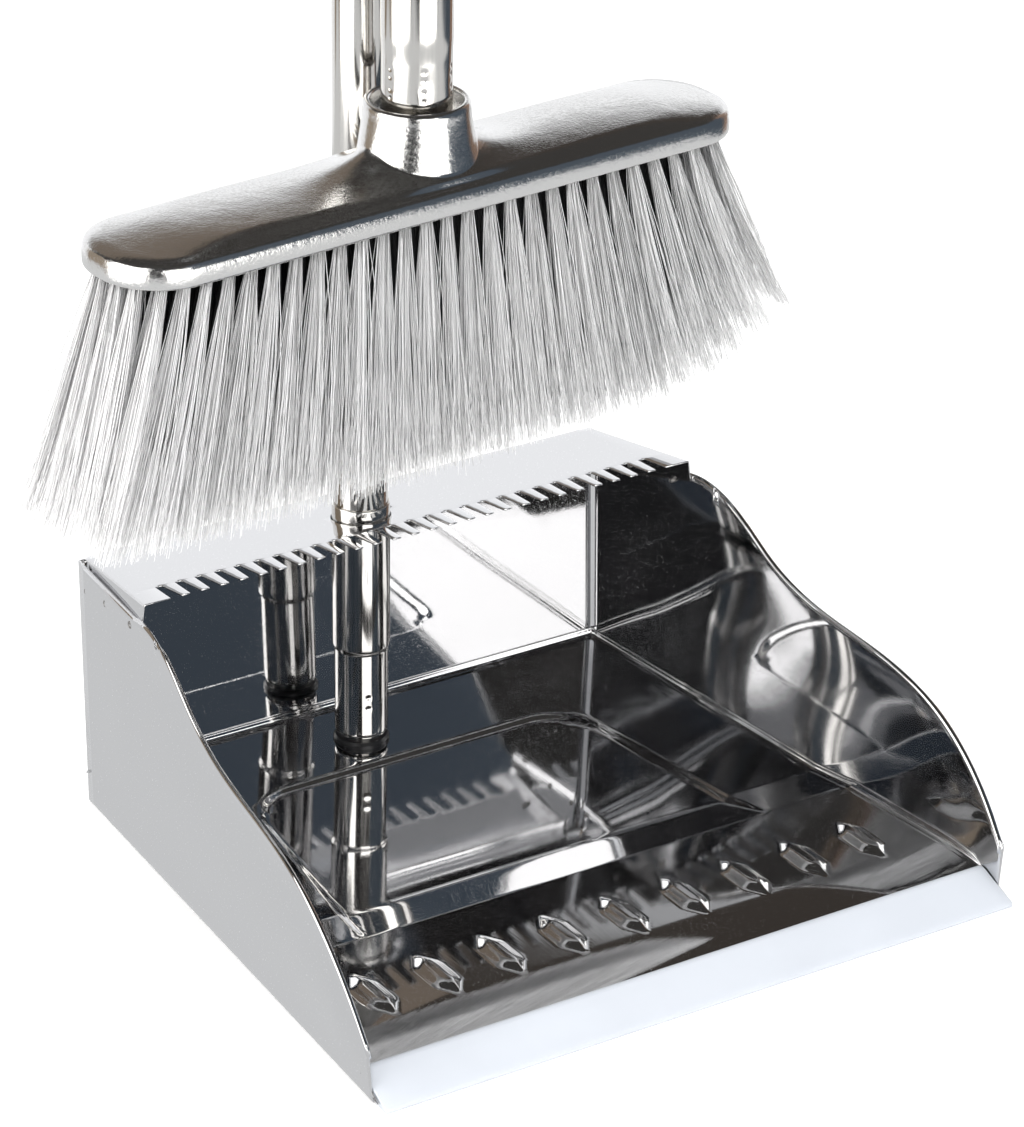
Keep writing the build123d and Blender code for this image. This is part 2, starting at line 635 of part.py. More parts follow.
def socket_insert():
    """The threaded bush moulded into the socket."""
    return in_head(tube(13.95, THREAD_R + 0.05, 9.1, 29.9))


def broom_end_plug():
    """The threaded plug crimped into the tube's end; it screws into the head."""
    bore = BROOM_NECK_R - TUBE_WALL
    shoulder = 32.0
    plug = rod(THREAD_R, 11, shoulder) + rod(bore - 0.02, shoulder, shoulder + 31)
    return in_head(plug)


def broom_tube_lower():
    """The broom's lower tube, drawn in at its end and crimped on the plug."""
    z0 = HEAD_Z + 31
    neck = HEAD_Z + BROOM_NECK_TOP
    wall = TUBE_WALL
    full = neck + BROOM_SWAGE
    outline = [(BROOM_NECK_R - wall, z0), (BROOM_NECK_R, z0), (BROOM_NECK_R, neck), (BROOM_R, full),
               (BROOM_R, BROOM_JOINT_Z), (BROOM_R - wall, BROOM_JOINT_Z), (BROOM_R - wall, full),
               (BROOM_NECK_R - wall, neck)]
    body = turned(outline, BROOM_X, BROOM_Y)
    for index in range(BROOM_CRIMP_COUNT):
        turn = BROOM_CRIMP_TURN + index * 360 / BROOM_CRIMP_COUNT
        for height in BROOM_CRIMPS:
            body -= crimp_dot(BROOM_X, BROOM_Y, BROOM_NECK_R, HEAD_Z + height, turn)
    return body


def handle_tube(radius, z0, z1, x, y):
    """A plain handle tube."""
    return tube(radius, radius - TUBE_WALL, z0, z1, x, y)


# ---- the whole set ---------------------------------------------------------------------
def model():
    """Every node of the set, by name."""
    post_bore = POST_R - TUBE_WALL
    broom_bore = BROOM_R - TUBE_WALL
    post_upper_z = POST_JOINT_Z + JOINER_COLLAR
    broom_upper_z = BROOM_JOINT_Z + JOINER_COLLAR
    tray = floor_tray()
    left_wall = side_wall()
    left_hem = edge_hem()
    nodes = {
        "left_side_wall": left_wall,
        "right_side_wall": mirror(left_wall, about=Plane.YZ),
        "back_wall": back_wall(),
        "floor_tray": tray,
        "comb_hood": comb_hood(),
        "left_edge_hem": left_hem,
        "right_edge_hem": mirror(left_hem, about=Plane.YZ),
        "front_lip": front_lip(tray),
        "hood_rivets": hood_rivets(),
        "floor_stiffener": floor_stiffener(),
        "post_screw": post_screw(),
        "post_washer": post_washer(),
        "post_gasket": post_gasket(),
        "post_plug": post_plug(),
        "post_sleeve": post_sleeve(),
        "post_tube_lower": handle_tube(POST_R, SWAGE_HIGH + 1, POST_JOINT_Z, POST_X, POST_Y),
        "post_joiner": joiner(POST_R, post_bore, POST_JOINT_Z, POST_X, POST_Y),
        "post_ferrule": ferrule(post_bore, POST_JOINT_Z, POST_X, POST_Y),
        "post_tube_upper": handle_tube(POST_R, post_upper_z, POST_TUBE_TOP, POST_X, POST_Y),
        "post_cap": handle_cap(POST_R, post_bore, POST_TUBE_TOP, POST_CAP_TOP, POST_X, POST_Y),
        "clip_collar": clip_collar(),
        "clip_jaw": clip_jaw(),
        "clip_screw": clip_screw(),
        "pinch_screw": pinch_screw(),
        "pinch_nut": pinch_nut(),
        "head_shell": head_shell() - screw_holes(),
        "bristle_block": bristle_block() - screw_holes() - staple_slots(),
        "block_screws": block_screws(),
        "tuft_staples": tuft_staples(),
        "socket_insert": socket_insert(),
        "broom_end_plug": broom_end_plug(),
        "broom_tube_lower": broom_tube_lower(),
        "broom_joiner": joiner(BROOM_R, broom_bore, BROOM_JOINT_Z, BROOM_X, BROOM_Y),
        "broom_ferrule": ferrule(broom_bore, BROOM_JOINT_Z, BROOM_X, BROOM_Y),
        "broom_tube_upper": handle_tube(BROOM_R, broom_upper_z, BROOM_TUBE_TOP, BROOM_X, BROOM_Y),
        "broom_cap": handle_cap(BROOM_R, broom_bore, BROOM_TUBE_TOP, BROOM_CAP_TOP, BROOM_X, BROOM_Y),
    }
    for row in range(ROW_COUNT):
        nodes[f"bristle_row_{row + 1}"] = bristle_row(row)
    return nodes


def main():
    """Write one STEP file per node."""
    os.makedirs("parts", exist_ok=True)
    for name, shape in model().items():
        if isinstance(shape, list):
            shape = Compound(children=shape)
        export_step(shape, f"parts/{name}.step")


main()
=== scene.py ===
"""Looks of the dust pan and brush set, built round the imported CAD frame.

Shapes are written in millimetres, in the CAD's own frame, and scaled to metres as each mesh is made.
"""

import math
import random

import bpy
import numpy as np
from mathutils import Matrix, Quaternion, Vector


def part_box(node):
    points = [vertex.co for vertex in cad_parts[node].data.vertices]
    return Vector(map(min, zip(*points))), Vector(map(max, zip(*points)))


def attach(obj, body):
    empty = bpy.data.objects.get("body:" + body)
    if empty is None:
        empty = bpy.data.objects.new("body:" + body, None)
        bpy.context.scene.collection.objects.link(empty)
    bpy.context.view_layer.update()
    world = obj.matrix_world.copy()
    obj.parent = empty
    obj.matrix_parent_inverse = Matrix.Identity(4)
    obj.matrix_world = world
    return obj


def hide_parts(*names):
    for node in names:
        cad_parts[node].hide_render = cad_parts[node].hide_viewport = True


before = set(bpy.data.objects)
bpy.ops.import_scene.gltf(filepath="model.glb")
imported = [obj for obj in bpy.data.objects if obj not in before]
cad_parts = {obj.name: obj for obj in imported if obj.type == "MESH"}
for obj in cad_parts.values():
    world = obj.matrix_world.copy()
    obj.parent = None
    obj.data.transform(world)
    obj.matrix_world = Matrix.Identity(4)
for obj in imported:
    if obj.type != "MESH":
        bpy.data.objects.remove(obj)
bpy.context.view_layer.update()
MM = 0.001

# ---- pan sizes, as in the CAD design --------------------------------
SHEET = 0.6
BACK_Y = 6.0
FRONT_Y = -287.6
BACK_HALF = 140.0
FRONT_HALF = 164.5
FRONT_LEAN = 0.09
BACK_LEAN = 3.4
WALL_TOP = 122.6
WALL_SHOULDER = (-58.0, 124.2)
FOLD_R = 1.0
FOOT_WIDTH = 8.0
FOOT_STUB = 1.6
FOOT_BACK_Y = -6.0
TRAY_Z = 12.2
TRAY_FLANGE = 3.4
BASIN_Z = 9.5
BASIN_BACK_Y = -50.0
BASIN_BACK_HALF = 89.0
BASIN_CORNER_R = 24.0
RISE_Y = -162.0
RIDGE_Y = -188.0
RIDGE_Z = 12.8
RIDGE_HALF = 108.0
RAMP_BEND_Y = -246.0
NOSE_Y = -278.0
NOSE_Z = 9.5
NOSE_TIP_Y = -293.0
NOSE_TIP_Z = 2.6
FOOT_FRONT_Y = NOSE_Y + 10
LIP_Y = -299.0
RIB_COUNT = 9
RIB_PITCH = 32.4
RIB_Y = -231.0
RIB_LENGTH = 38.0
RIB_WIDTH = 13.0
RIB_HEIGHT = 2.4
HOOD_FRONT_Y = -64.0
HOOD_BACK_Z = 124.2
HOOD_FRONT_Z = 132.6
HOOD_FLANGE = 11.0
HOOD_FOLD_R = 1.3
TOOTH_COUNT = 26
TOOTH_PITCH = 10.0
TOOTH_LENGTH = 16.4
TOOTH_ROOT = 6.6
TOOTH_TIP = 4.2
RIVETS = ((1.5, 110.0), (-22.0, 114.6), (-51.5, 117.6))

# ---- broom sizes ----------------------------------------------------
HEAD_TURN = math.radians(4.9)
HEAD_LENGTH = 334.0
HEAD_WIDTH = 66.0
HEAD_CORNER_R = 30.0
SOCKET_RIM_R = 23.8
SOCKET_BASE_R = 26.5
SOCKET_BORE_R = 20.6
SOCKET_TOP = 44.0
ROWS = 5
ROW_PITCH = 11.0
TUFTS = 27
FILAMENTS = 90
ROOT_HALF = 156.0
TIP_HALF = 190.0
BRISTLE_LENGTH = 119.0

# ---- looks-only sizes -----------------------------------------------
WALL_BOW = 0.8              # how far a side wall bellies out
BOW_EASE_BACK = 40.0        # the belly fades out over these lengths
BOW_EASE_FRONT = 30.0
LEAN_RUN = 60.0             # how far forward a side wall follows the back wall's lean
WAVE_LENGTHS = (55, 85, 115, 145, 175)
WALL_WAVE = 0.03            # height of the waves in each sheet
BACK_WAVE = 0.07
FLOOR_WAVE = 0.05
BACK_GAP = 0.05             # clearances inside the side walls
FLOOR_GAP = 0.1
HOOD_GAP = 0.15
LIP_GAP = 0.3
HEM_START_Y = -84.0
HEM_FOOT_HEIGHTS = (25.0, 22.0)
HEM_HALF_DEPTH = 1.9
HEM_HALF_THICK = 1.35
HEM_INSET = 0.75
HEM_PROUD = 0.25
HEM_FIRST_SWELL = 0.35      # the hem's back end starts thin and fills out
HEM_SWELL_STEP = 0.16
HOOD_LEAN = 1.2             # the hood's side flanges lean in at the top
BASIN_DRAFT = 1.0
TRAY_FOLD_R = 1.4
FLOOR_TILT = 0.018          # the floor climbs towards the back
TILT_Y = -75.0
RAMP_DROP = 0.2
RAMP_SOFT = 0.7
RELIEF_HOLE = (-81.5, 120.8)
RELIEF_R = 1.5
DRILL_REACH = 6.0
RIB_RUN = 3.4               # width of a rib's sloping side
RIB_TAPER = 1.6             # how much faster a rib narrows along than across
TUBE_WALL = 0.5
EASED = 0.12                # radius lost at a tube's eased end
SLEEVE_TOP_R = 13.5
SWAGE_LOW = 62.0
SWAGE_HIGH = 65.0
NECK_R = 15.7
NECK_TOP = 64.0
NECK_SWAGE = 12.0
POST_CRIMP_TURN = math.radians(254.0)
POST_CRIMPS = (33.5, 39.2)
POST_CRIMP_PUNCH = (0.45, 0.9, 0.9)     # depth, width and height of a punch
CRIMP_TURN = 250.0
CRIMP_LINES = 6
CRIMP_HOLLOW = 54.0
CRIMP_HOLLOW_PUNCH = (0.22, 3.6, 7.0)
CRIMP_DOTS = (47.6, 51.6, 57.2, 60.9)
CRIMP_DOT_PUNCH = (0.35, 0.8, 0.8)
HEAD_EDGE_Z = 12.6
HEAD_SEGMENTS = 260
TUFT_ROOT_R = 2.5
TUFT_TIP_R = 8.1
TUFT_FLATTEN = 0.9          # a fanned tuft is a little narrower across the head
ROOT_FLATTEN = 0.8
TIP_REACH = 188.0           # a strand that would stand out beyond this is folded back
TIP_FOLD = 0.8
ROW_SHRINK = 0.012
FRONT_FAN = 0.34            # how far the rows in front and behind lean out
BACK_FAN = 0.30
WORN_LEFT = 4               # how much shorter the tufts are at each end of the head
WORN_RIGHT = 30
STRAY = 1.5
WILD_SHARE = 0.05           # one strand in twenty strays three times as far
WILD = 3.0
UNEVEN = 1.8                # how much the strands of a tuft differ in length
DOME = 2.6                  # a tuft's outer strands end this much higher
SAG = 1.6
KINK = 0.22
KINKS = 38
FILAMENT_R = 0.24
FILAMENT_TAPER = 0.45
PAINTED_SHADE_OUTER = -0.2          # where along a strand the painted shade between the tufts ends
PAINTED_SHADE_INNER = 0.55
PAINTED_SHADE_RUN = 0.35
TUFT_SHADE = 0.08
STRAND_SHADE = (0.45, 1.08)
TIP_SHADE = 0.2

# ---- colours and light ----------------------------------------------
STEEL = (0.66, 0.66, 0.667)
FLOOR_GLOW = 0.28
WARM_WHITE = (1.0, 0.99, 0.97)
COOL_WHITE = (0.95, 0.96, 0.98)
NEAR_BLACK = (0.05, 0.05, 0.052)
BLUE_DARK = (0.075, 0.094, 0.118)
BROWN_DARK = (0.19, 0.155, 0.125)
DEEP_BROWN = (0.055, 0.047, 0.041)
RED_BROWN = (0.30, 0.20, 0.15)
TAN_BROWN = (0.32, 0.26, 0.20)
STUDIO_Y = -0.12            # the studio's middle, and the cards' lower edge and distances, in metres
CARD_FOOT = -1.3
NEAR = 1.7
MIDWAY = 1.9
FAR = 2.4

# ---- camera ---------------------------------------------------------
CAMERA_TURN = -33.1
CAMERA_HEIGHT = 25.9
CAMERA_ROLL = 0.7
CAMERA_AIM = (10.9, -120.0, 136.3)
CAMERA_DISTANCE = 2202.1
CAMERA_LENS = 156.9


def node_box(name):
    """A CAD node's lowest and highest corners, in millimetres."""
    low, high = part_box(name)
    return low / MM, high / MM


def axis_of(name):
    """Where the upright axis through the middle of a CAD node stands."""
    low, high = node_box(name)
    return (low.x + high.x) / 2, (low.y + high.y) / 2


def radius_of(name):
    """The radius of an upright round CAD node."""
    low, high = node_box(name)
    return (high.x - low.x) / 2


POST_X, POST_Y = axis_of("post_tube_lower")
BROOM_X, BROOM_Y = axis_of("broom_tube_upper")
HEAD_Z = node_box("head_shell")[0].z
POST_R = radius_of("post_tube_lower")
BROOM_R = radius_of("broom_tube_upper")


# ---- mesh helpers ---------------------------------------------------
def place_mesh(mesh):
    """A mesh's object, in the scene, under the mesh's own name."""
    piece = bpy.data.objects.new(mesh.name, mesh)
    bpy.context.scene.collection.objects.link(piece)
    return piece


def new_mesh(name, points, faces, smooth=True):
    """A mesh object from points in millimetres."""
    mesh = bpy.data.meshes.new(name)
    mesh.from_pydata([tuple(c * MM for c in p) for p in points], [], faces)
    mesh.polygons.foreach_set("use_smooth", [smooth] * len(mesh.polygons))
    mesh.update()
    return place_mesh(mesh)


def grid_faces(rows, columns, close_columns=False, close_rows=False):
    """Quads between the points of a rows x columns grid."""
    faces = []
    for r in range(rows if close_rows else rows - 1):
        for c in range(columns if close_columns else columns - 1):
            r1, c1 = (r + 1) % rows, (c + 1) % columns
            faces.append((r * columns + c, r * columns + c1, r1 * columns + c1, r1 * columns + c))
    return faces


def thicken(piece, thickness, offset=-1.0):
    """Give a sheet its thickness."""
    solid = piece.modifiers.new("thickness", "SOLIDIFY")
    solid.thickness = thickness * MM
    solid.offset = offset
    solid.use_even_offset = True
    return piece


def round_edges(piece, width, segments=2, angle=35):
    """Small round edges, which catch the light as a real edge does."""
    bevel = piece.modifiers.new("edges", "BEVEL")
    bevel.width = width * MM
    bevel.segments = segments
    bevel.limit_method = "ANGLE"
    bevel.angle_limit = math.radians(angle)
    return piece


def lathe(name, outline, x, y, segments=96, dent=None):
    """A closed outline of (radius, z) points turned about the upright axis at x, y."""
    points = []
    for radius, z in outline:
        for k in range(segments):
            a = 2 * math.pi * k / segments
            r = radius + (dent(a, z, radius) if dent else 0.0)
            points.append((x + r * math.cos(a), y + r * math.sin(a), z))
    return new_mesh(name, points, grid_faces(len(outline), segments, True, True))


def smooth_min(a, b, r):
    """The lesser of two values, rounded over where they meet."""
    h = np.clip(0.5 + 0.5 * (b - a) / r, 0.0, 1.0)
    return b + (a - b) * h - r * h * (1.0 - h)


def smooth_max(a, b, r):
    """The greater of two values, rounded over where they meet."""
    return -smooth_min(-a, -b, r)


def spaced(*runs):
    """Values along an axis from runs of (start, end, step)."""
    values = []
    for start, end, step in runs:
        count = max(1, round(abs(end - start) / step))
        values += [start + (end - start) * k / count for k in range(count)]
    values.append(runs[-1][1])
    return values


def finish_piece(piece, body, material, *stands_for, slot):
    """Put a piece on its body, in its finish, in place of its CAD nodes."""
    piece.data.materials.clear()
    piece.data.materials.append(material)
    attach(piece, body)
    if stands_for:
        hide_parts(*stands_for)
    return piece


# ---- materials ------------------------------------------------------
class Shader:
    """A material with one Principled shader, and short ways to add nodes to it."""

    def __init__(self, name, colour, metallic=0.0, roughness=0.5):
        self.material = bpy.data.materials.new(name)
        self.material.use_nodes = True
        self.nodes = self.material.node_tree.nodes
        self.links = self.material.node_tree.links
        self.main = self.nodes["Principled BSDF"]
        self.set("Base Color", (*colour, 1.0))
        self.set("Metallic", metallic)
        self.set("Roughness", roughness)
        self.place = self.nodes.new("ShaderNodeTexCoord").outputs["Object"]

    def set(self, socket, value):
        self.main.inputs[socket].default_value = value

    def link(self, output, socket):
        self.links.new(output, self.main.inputs[socket])

    def stretch(self, scale):
        """Object coordinates stretched by scale, in features per metre along each axis."""
        mapping = self.nodes.new("ShaderNodeMapping")
        mapping.inputs["Scale"].default_value = scale
        self.links.new(self.place, mapping.inputs["Vector"])
        return mapping.outputs["Vector"]

    def noise(self, scale, detail=2.0, stretch=(1, 1, 1), distortion=0.0):
        node = self.nodes.new("ShaderNodeTexNoise")
        node.inputs["Scale"].default_value = scale
        node.inputs["Detail"].default_value = detail
        node.inputs["Distortion"].default_value = distortion
        self.links.new(self.stretch(stretch), node.inputs["Vector"])
        return node.outputs["Fac"]

    def ramp(self, value, low, high, to_low, to_high):
        node = self.nodes.new("ShaderNodeMapRange")
        limits = (("From Min", low), ("From Max", high), ("To Min", to_low), ("To Max", to_high))
        for socket, limit in limits:
            node.inputs[socket].default_value = limit
        self.links.new(value, node.inputs["Value"])
        return node.outputs["Result"]

    def mix(self, value, first, second):
        node = self.nodes.new("ShaderNodeMix")
        node.data_type = "RGBA"
        for socket, colour in (("A", first), ("B", second)):
            target = [s for s in node.inputs if s.name == socket and s.type == "RGBA"][0]
            if isinstance(colour, tuple):
                target.default_value = (*colour, 1.0)
            else:
                self.links.new(colour, target)
        self.links.new(value, node.inputs["Factor"])
        return [s for s in node.outputs if s.type == "RGBA"][0]

    def bump(self, *layers):
        """Layers of (height, depth in millimetres) added on one another."""
        normal = None
        for height, depth in layers:
            node = self.nodes.new("ShaderNodeBump")
            node.inputs["Distance"].default_value = depth * MM
            self.links.new(height, node.inputs["Height"])
            if normal:
                self.links.new(normal, node.inputs["Normal"])
            normal = node.outputs["Normal"]
        self.link(normal, "Normal")


def mirror_steel():
    """Polished stainless sheet with faint polishing lines, smudges and fine specks."""
    s = Shader("mirror_steel", STEEL, 1.0, 0.04)
    lines = s.noise(60, 3.0, (18, 0.6, 18))
    smudges = s.noise(14, 4.0, distortion=0.6)
    specks = s.ramp(s.noise(1500, 1.0), 0.70, 0.76, 0.0, 1.0)
    rough = s.ramp(smudges, 0.35, 0.75, 0.025, 0.075)
    s.link(rough, "Roughness")
    s.link(s.mix(specks, STEEL, (0.95, 0.95, 0.95)), "Base Color")
    s.bump((lines, 0.004), (specks, 0.01))
    return s.material


def tube_steel():
    """Drawn stainless tube: fine lines along it and a soft polish."""
    s = Shader("tube_steel", (0.70, 0.685, 0.66), 1.0, 0.1)
    draw = s.noise(90, 3.0, (10, 10, 0.25))
    s.link(s.ramp(draw, 0.3, 0.7, 0.07, 0.15), "Roughness")
    s.bump((draw, 0.006))
    return s.material


def head_chrome():
    """Chrome over a moulded head: grainy, with slow ripples."""
    s = Shader("head_chrome", (0.76, 0.755, 0.745), 1.0, 0.14)
    grain = s.noise(800, 2.0)
    ripple = s.noise(75, 2.0, distortion=0.4)
    s.link(s.ramp(grain, 0.3, 0.7, 0.13, 0.26), "Roughness")
    s.bump((ripple, 0.16), (grain, 0.07))
    return s.material


def plain_steel(name, colour, roughness):
    """Turned or zinc-plated steel with fine random marks."""
    s = Shader(name, colour, 1.0, roughness)
    marks = s.noise(500, 3.0)
    s.link(s.ramp(marks, 0.3, 0.7, roughness * 0.8, roughness * 1.25), "Roughness")
    s.bump((marks, 0.01))
    return s.material


def moulded(name, colour, roughness, grain_depth):
    """Moulded plastic or rubber with a fine sparked grain."""
    s = Shader(name, colour, 0.0, roughness)
    grain = s.noise(1400, 2.0)
    cloud = s.noise(30, 3.0)
    darker = tuple(c * 0.9 for c in colour)
    s.link(s.mix(cloud, colour, darker), "Base Color")
    s.link(s.ramp(cloud, 0.3, 0.7, roughness * 0.9, roughness * 1.1), "Roughness")
    s.bump((grain, grain_depth))
    return s.material


def bristle_fibre():
    """Crimped synthetic filament, paler at the tips, each one a little different, with painted shade
    near the roots.
    """
    s = Shader("bristle_fibre", (0.62, 0.62, 0.63), 0.0, 0.32)
    tone_and_painted_shade = s.nodes.new("ShaderNodeAttribute")
    tone_and_painted_shade.attribute_name = "tone_and_painted_shade"
    # low values, which include the painted shade near the roots, go towards near black
    s.link(s.mix(tone_and_painted_shade.outputs["Fac"], (0.015, 0.015, 0.016), (0.97, 0.97, 0.975)), "Base Color")
    s.bump((s.noise(2500, 1.0), 0.01))
    return s.material


LOOKS = {
    "mirror_steel": mirror_steel(),
    "tube_steel": tube_steel(),
    "head_chrome": head_chrome(),
    "plain_steel": plain_steel("plain_steel", (0.62, 0.61, 0.59), 0.25),
    "rivet_steel": plain_steel("rivet_steel", (0.30, 0.29, 0.28), 0.4),
    "zinc_screw": plain_steel("zinc_screw", (0.66, 0.67, 0.70), 0.3),
    "white_rubber": moulded("white_rubber", (0.56, 0.59, 0.64), 0.45, 0.01),
    "black_rubber": moulded("black_rubber", (0.012, 0.012, 0.013), 0.35, 0.02),
    "black_plastic": moulded("black_plastic", (0.02, 0.02, 0.022), 0.38, 0.02),
    "grey_plastic": moulded("grey_plastic", (0.28, 0.285, 0.29), 0.42, 0.02),
    "bristle": bristle_fibre(),
}


# ---- pan: shared shapes ---------------------------------------------
def half_width(y, z):
    """Outer half width of the pan at a depth and a height."""
    run = (BACK_Y - y) / (BACK_Y - FRONT_Y)
    return BACK_HALF + (FRONT_HALF - BACK_HALF) * run + FRONT_LEAN * run * z


def wall_top(y):
    """Height at which a level ray across the pan just clears the CAD wall's edge, at a depth."""
    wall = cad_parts["left_side_wall"]
    low, high = 2.0, HOOD_FRONT_Z
    while high - low > 0.02:
        z = (low + high) / 2
        start = Vector((-half_width(y, z) - 20, y, z)) * MM
        if wall.ray_cast(start, Vector((1, 0, 0)), distance=40 * MM)[0]:
            low = z
        else:
            high = z
    return low


OGEE_DEPTHS = np.arange(WALL_SHOULDER[0] - 0.5, FRONT_Y + 0.3, -1.5)
OGEE_HEIGHTS = np.array([wall_top(y) for y in OGEE_DEPTHS])


def edge_z(y):
    """Height of the side wall's top edge at a depth."""
    shoulder_y, shoulder_z = WALL_SHOULDER
    if y > shoulder_y:
        return float(np.interp(y, [shoulder_y, BACK_Y + BACK_LEAN], [shoulder_z, WALL_TOP]))
    return float(np.interp(-y, -OGEE_DEPTHS, OGEE_HEIGHTS))


def waviness(a, b, size, seed):
    """The slow unevenness of a thin sheet, from a few crossed waves."""
    rng = random.Random(seed)
    total = 0.0
    for length in WAVE_LENGTHS:
        turn = rng.uniform(0, math.pi)
        phase = rng.uniform(0, 2 * math.pi)
        along = a * math.cos(turn) + b * math.sin(turn)
        total += math.sin(along * 2 * math.pi / length + phase) * length
    return size * total / sum(WAVE_LENGTHS)


def settle(piece):
    """Make a piece's modifiers part of its mesh."""
    view = bpy.context.evaluated_depsgraph_get()
    mesh = bpy.data.meshes.new_from_object(piece.evaluated_get(view))
    piece.modifiers.clear()
    piece.data = mesh
    return piece


def cut_away(piece, cutter):
    """Take a closed cutter out of a piece, and throw the cutter away."""
    cut = piece.modifiers.new("cut", "BOOLEAN")
    cut.object = cutter
    cut.operation = "DIFFERENCE"
    settle(piece)
    bpy.data.objects.remove(cutter)
    return piece


def drill(piece, side, y, z, radius, segments=24):
    """A round hole through a side wall, level and square to the pan's middle plane."""
    turns = np.linspace(0, 2 * math.pi, segments + 1)[:-1]
    middle = half_width(y, z)
    points = [(side * (middle + reach), y + radius * math.cos(a), z + radius * math.sin(a))
              for reach in (-DRILL_REACH, DRILL_REACH) for a in turns]
    faces = grid_faces(2, segments, close_columns=True)
    faces += [tuple(range(segments)), tuple(reversed(range(segments, 2 * segments)))]
    return cut_away(piece, new_mesh("cutter", points, faces))


# ---- pan: walls and hems --------------------------------------------
def side_wall(side):
    """A folded side wall: foot, radius, and a thin sheet that bows a little."""
    depths = spaced((BACK_Y, -54, 6), (-54, -130, 1.5), (-130, FRONT_Y, 2.5))
    fold = [(FOLD_R + FOLD_R * math.cos(a), FOLD_R + FOLD_R * math.sin(a))
            for a in np.radians([270, 247, 225, 202, 180])]
    rises = np.linspace(0, 1, 30)
    points = []
    for y in depths:
        foot = FOOT_WIDTH if FOOT_FRONT_Y < y < FOOT_BACK_Y else FOOT_STUB
        section = [(foot, 0.0), (foot / 2 + 0.5, 0.0)] + fold
        top = edge_z(y)
        lean = BACK_LEAN / WALL_TOP * max(0.0, 1 - (BACK_Y - y) / LEAN_RUN)
        back_ease = min(1.0, (BACK_Y - y) / BOW_EASE_BACK)
        front_ease = min(1.0, (y - FRONT_Y) / BOW_EASE_FRONT)
        for inset, z in section:
            points.append((side * (half_width(y, z) - inset), y, z))
        for t in rises[1:]:
            z = FOLD_R + t * (top - FOLD_R)
            ease = math.sin(math.pi * t) ** 2 * back_ease * front_ease
            bow = ease * (WALL_BOW + waviness(y, z, WALL_WAVE, 5 + side))
            points.append((side * (half_width(y, z) + bow), y + lean * z, z))
    columns = len(section) + len(rises) - 1
    name = "left_side_sheet" if side < 0 else "right_side_sheet"
    wall = new_mesh(name, points, grid_faces(len(depths), columns))
    thicken(wall, SHEET, -side)
    return drill(wall, side, *RELIEF_HOLE, RELIEF_R)


def sweep(name, path, profile, place):
    """A closed profile carried along a path; place(path point, profile point) gives the position."""
    points = [place(p, q) for p in path for q in profile]
    faces = grid_faces(len(path), len(profile), close_columns=True)
    last = (len(path) - 1) * len(profile)
    faces.append(tuple(reversed(range(len(profile)))))
    faces.append(tuple(last + k for k in range(len(profile))))
    return new_mesh(name, points, faces)


def edge_hem(side):
    """The rolled hem along a side wall's ogee edge."""
    depths = spaced((HEM_START_Y, -140, 1.5), (-140, FRONT_Y + 0.2, 2.0))
    line = np.array([(y, edge_z(y)) for y in depths] + [(FRONT_Y, z) for z in HEM_FOOT_HEIGHTS])
    for _ in range(3):
        line[1:-1] = (line[:-2] + 2 * line[1:-1] + line[2:]) / 4
    slope = np.gradient(line, axis=0)
    slope /= np.linalg.norm(slope, axis=1)[:, None]
    path = []
    for index, ((y, z), (dy, dz)) in enumerate(zip(line, slope)):
        swell = min(1.0, HEM_FIRST_SWELL + HEM_SWELL_STEP * index)
        path.append((y, z, -dz, dy, swell))
    turns = np.radians(np.arange(0, 360, 30))
    profile = [(HEM_HALF_DEPTH * math.cos(a), HEM_HALF_THICK * math.sin(a)) for a in turns]

    def place(station, q):
        y, z, ny, nz, swell = station
        depth = HEM_HALF_DEPTH - HEM_PROUD + q[0] * swell
        py, pz = y + ny * depth, z + nz * depth
        return (side * (half_width(py, pz) - HEM_INSET - q[1] * swell), py, pz)

    return sweep("left_rolled_hem" if side < 0 else "right_rolled_hem", path, profile, place)


def back_sheet():
    """The folded back wall, leaning back, with a radius at its foot."""
    lean = BACK_LEAN / WALL_TOP
    foot = [(BACK_Y - 11, 0.0), (BACK_Y - 6, 0.0)]
    foot += [(BACK_Y - FOLD_R + FOLD_R * math.cos(a), FOLD_R + FOLD_R * math.sin(a))
             for a in np.radians([270, 300, 330, 360])]
    heights = np.linspace(FOLD_R, WALL_TOP, 40)
    across = np.linspace(-1, 1, 90)

    def inside(z):
        return half_width(BACK_Y, z) - SHEET - BACK_GAP

    points = [(u * inside(z), y, z) for y, z in foot for u in across]
    for z in heights[1:]:
        for u in across:
            x = u * inside(z)
            ease = math.sin(math.pi * z / WALL_TOP) ** 2 * (1 - u * u) ** 0.5
            points.append((x, BACK_Y + lean * z + ease * waviness(x, z, BACK_WAVE, 11), z))
    wall = new_mesh("back_sheet", points, grid_faces(len(foot) + len(heights) - 1, len(across)))
    return thicken(wall, SHEET, 1.0)


# ---- pan: floor -----------------------------------------------------
def hexagon_inside(x, y, length, width):
    """How far inside a long hexagon a point is, along the nearest side."""
    slant = math.hypot(1.0, RIB_TAPER)
    ends = (length / 2 - np.abs(y) - RIB_TAPER * np.abs(x)) / slant
    return smooth_min(width / 2 - np.abs(x), ends, 1.2)


def ramp_height(y):
    """The ramp behind the lip: nearly level, then bent down, then folded to the nose's tip."""
    bend = np.maximum(0.0, RAMP_BEND_Y - y)
    drop = (RIDGE_Z - NOSE_Z - RAMP_DROP) / (RAMP_BEND_Y - NOSE_Y) ** 2
    sink = np.clip((RIDGE_Y - y) / (RIDGE_Y - RAMP_BEND_Y), 0, 1)
    z = RIDGE_Z - RAMP_DROP * sink - drop * bend ** 2
    fold = NOSE_Z + (y - NOSE_Y) * (NOSE_Z - NOSE_TIP_Z) / (NOSE_Y - NOSE_TIP_Y)
    return smooth_min(z, fold, RAMP_SOFT)


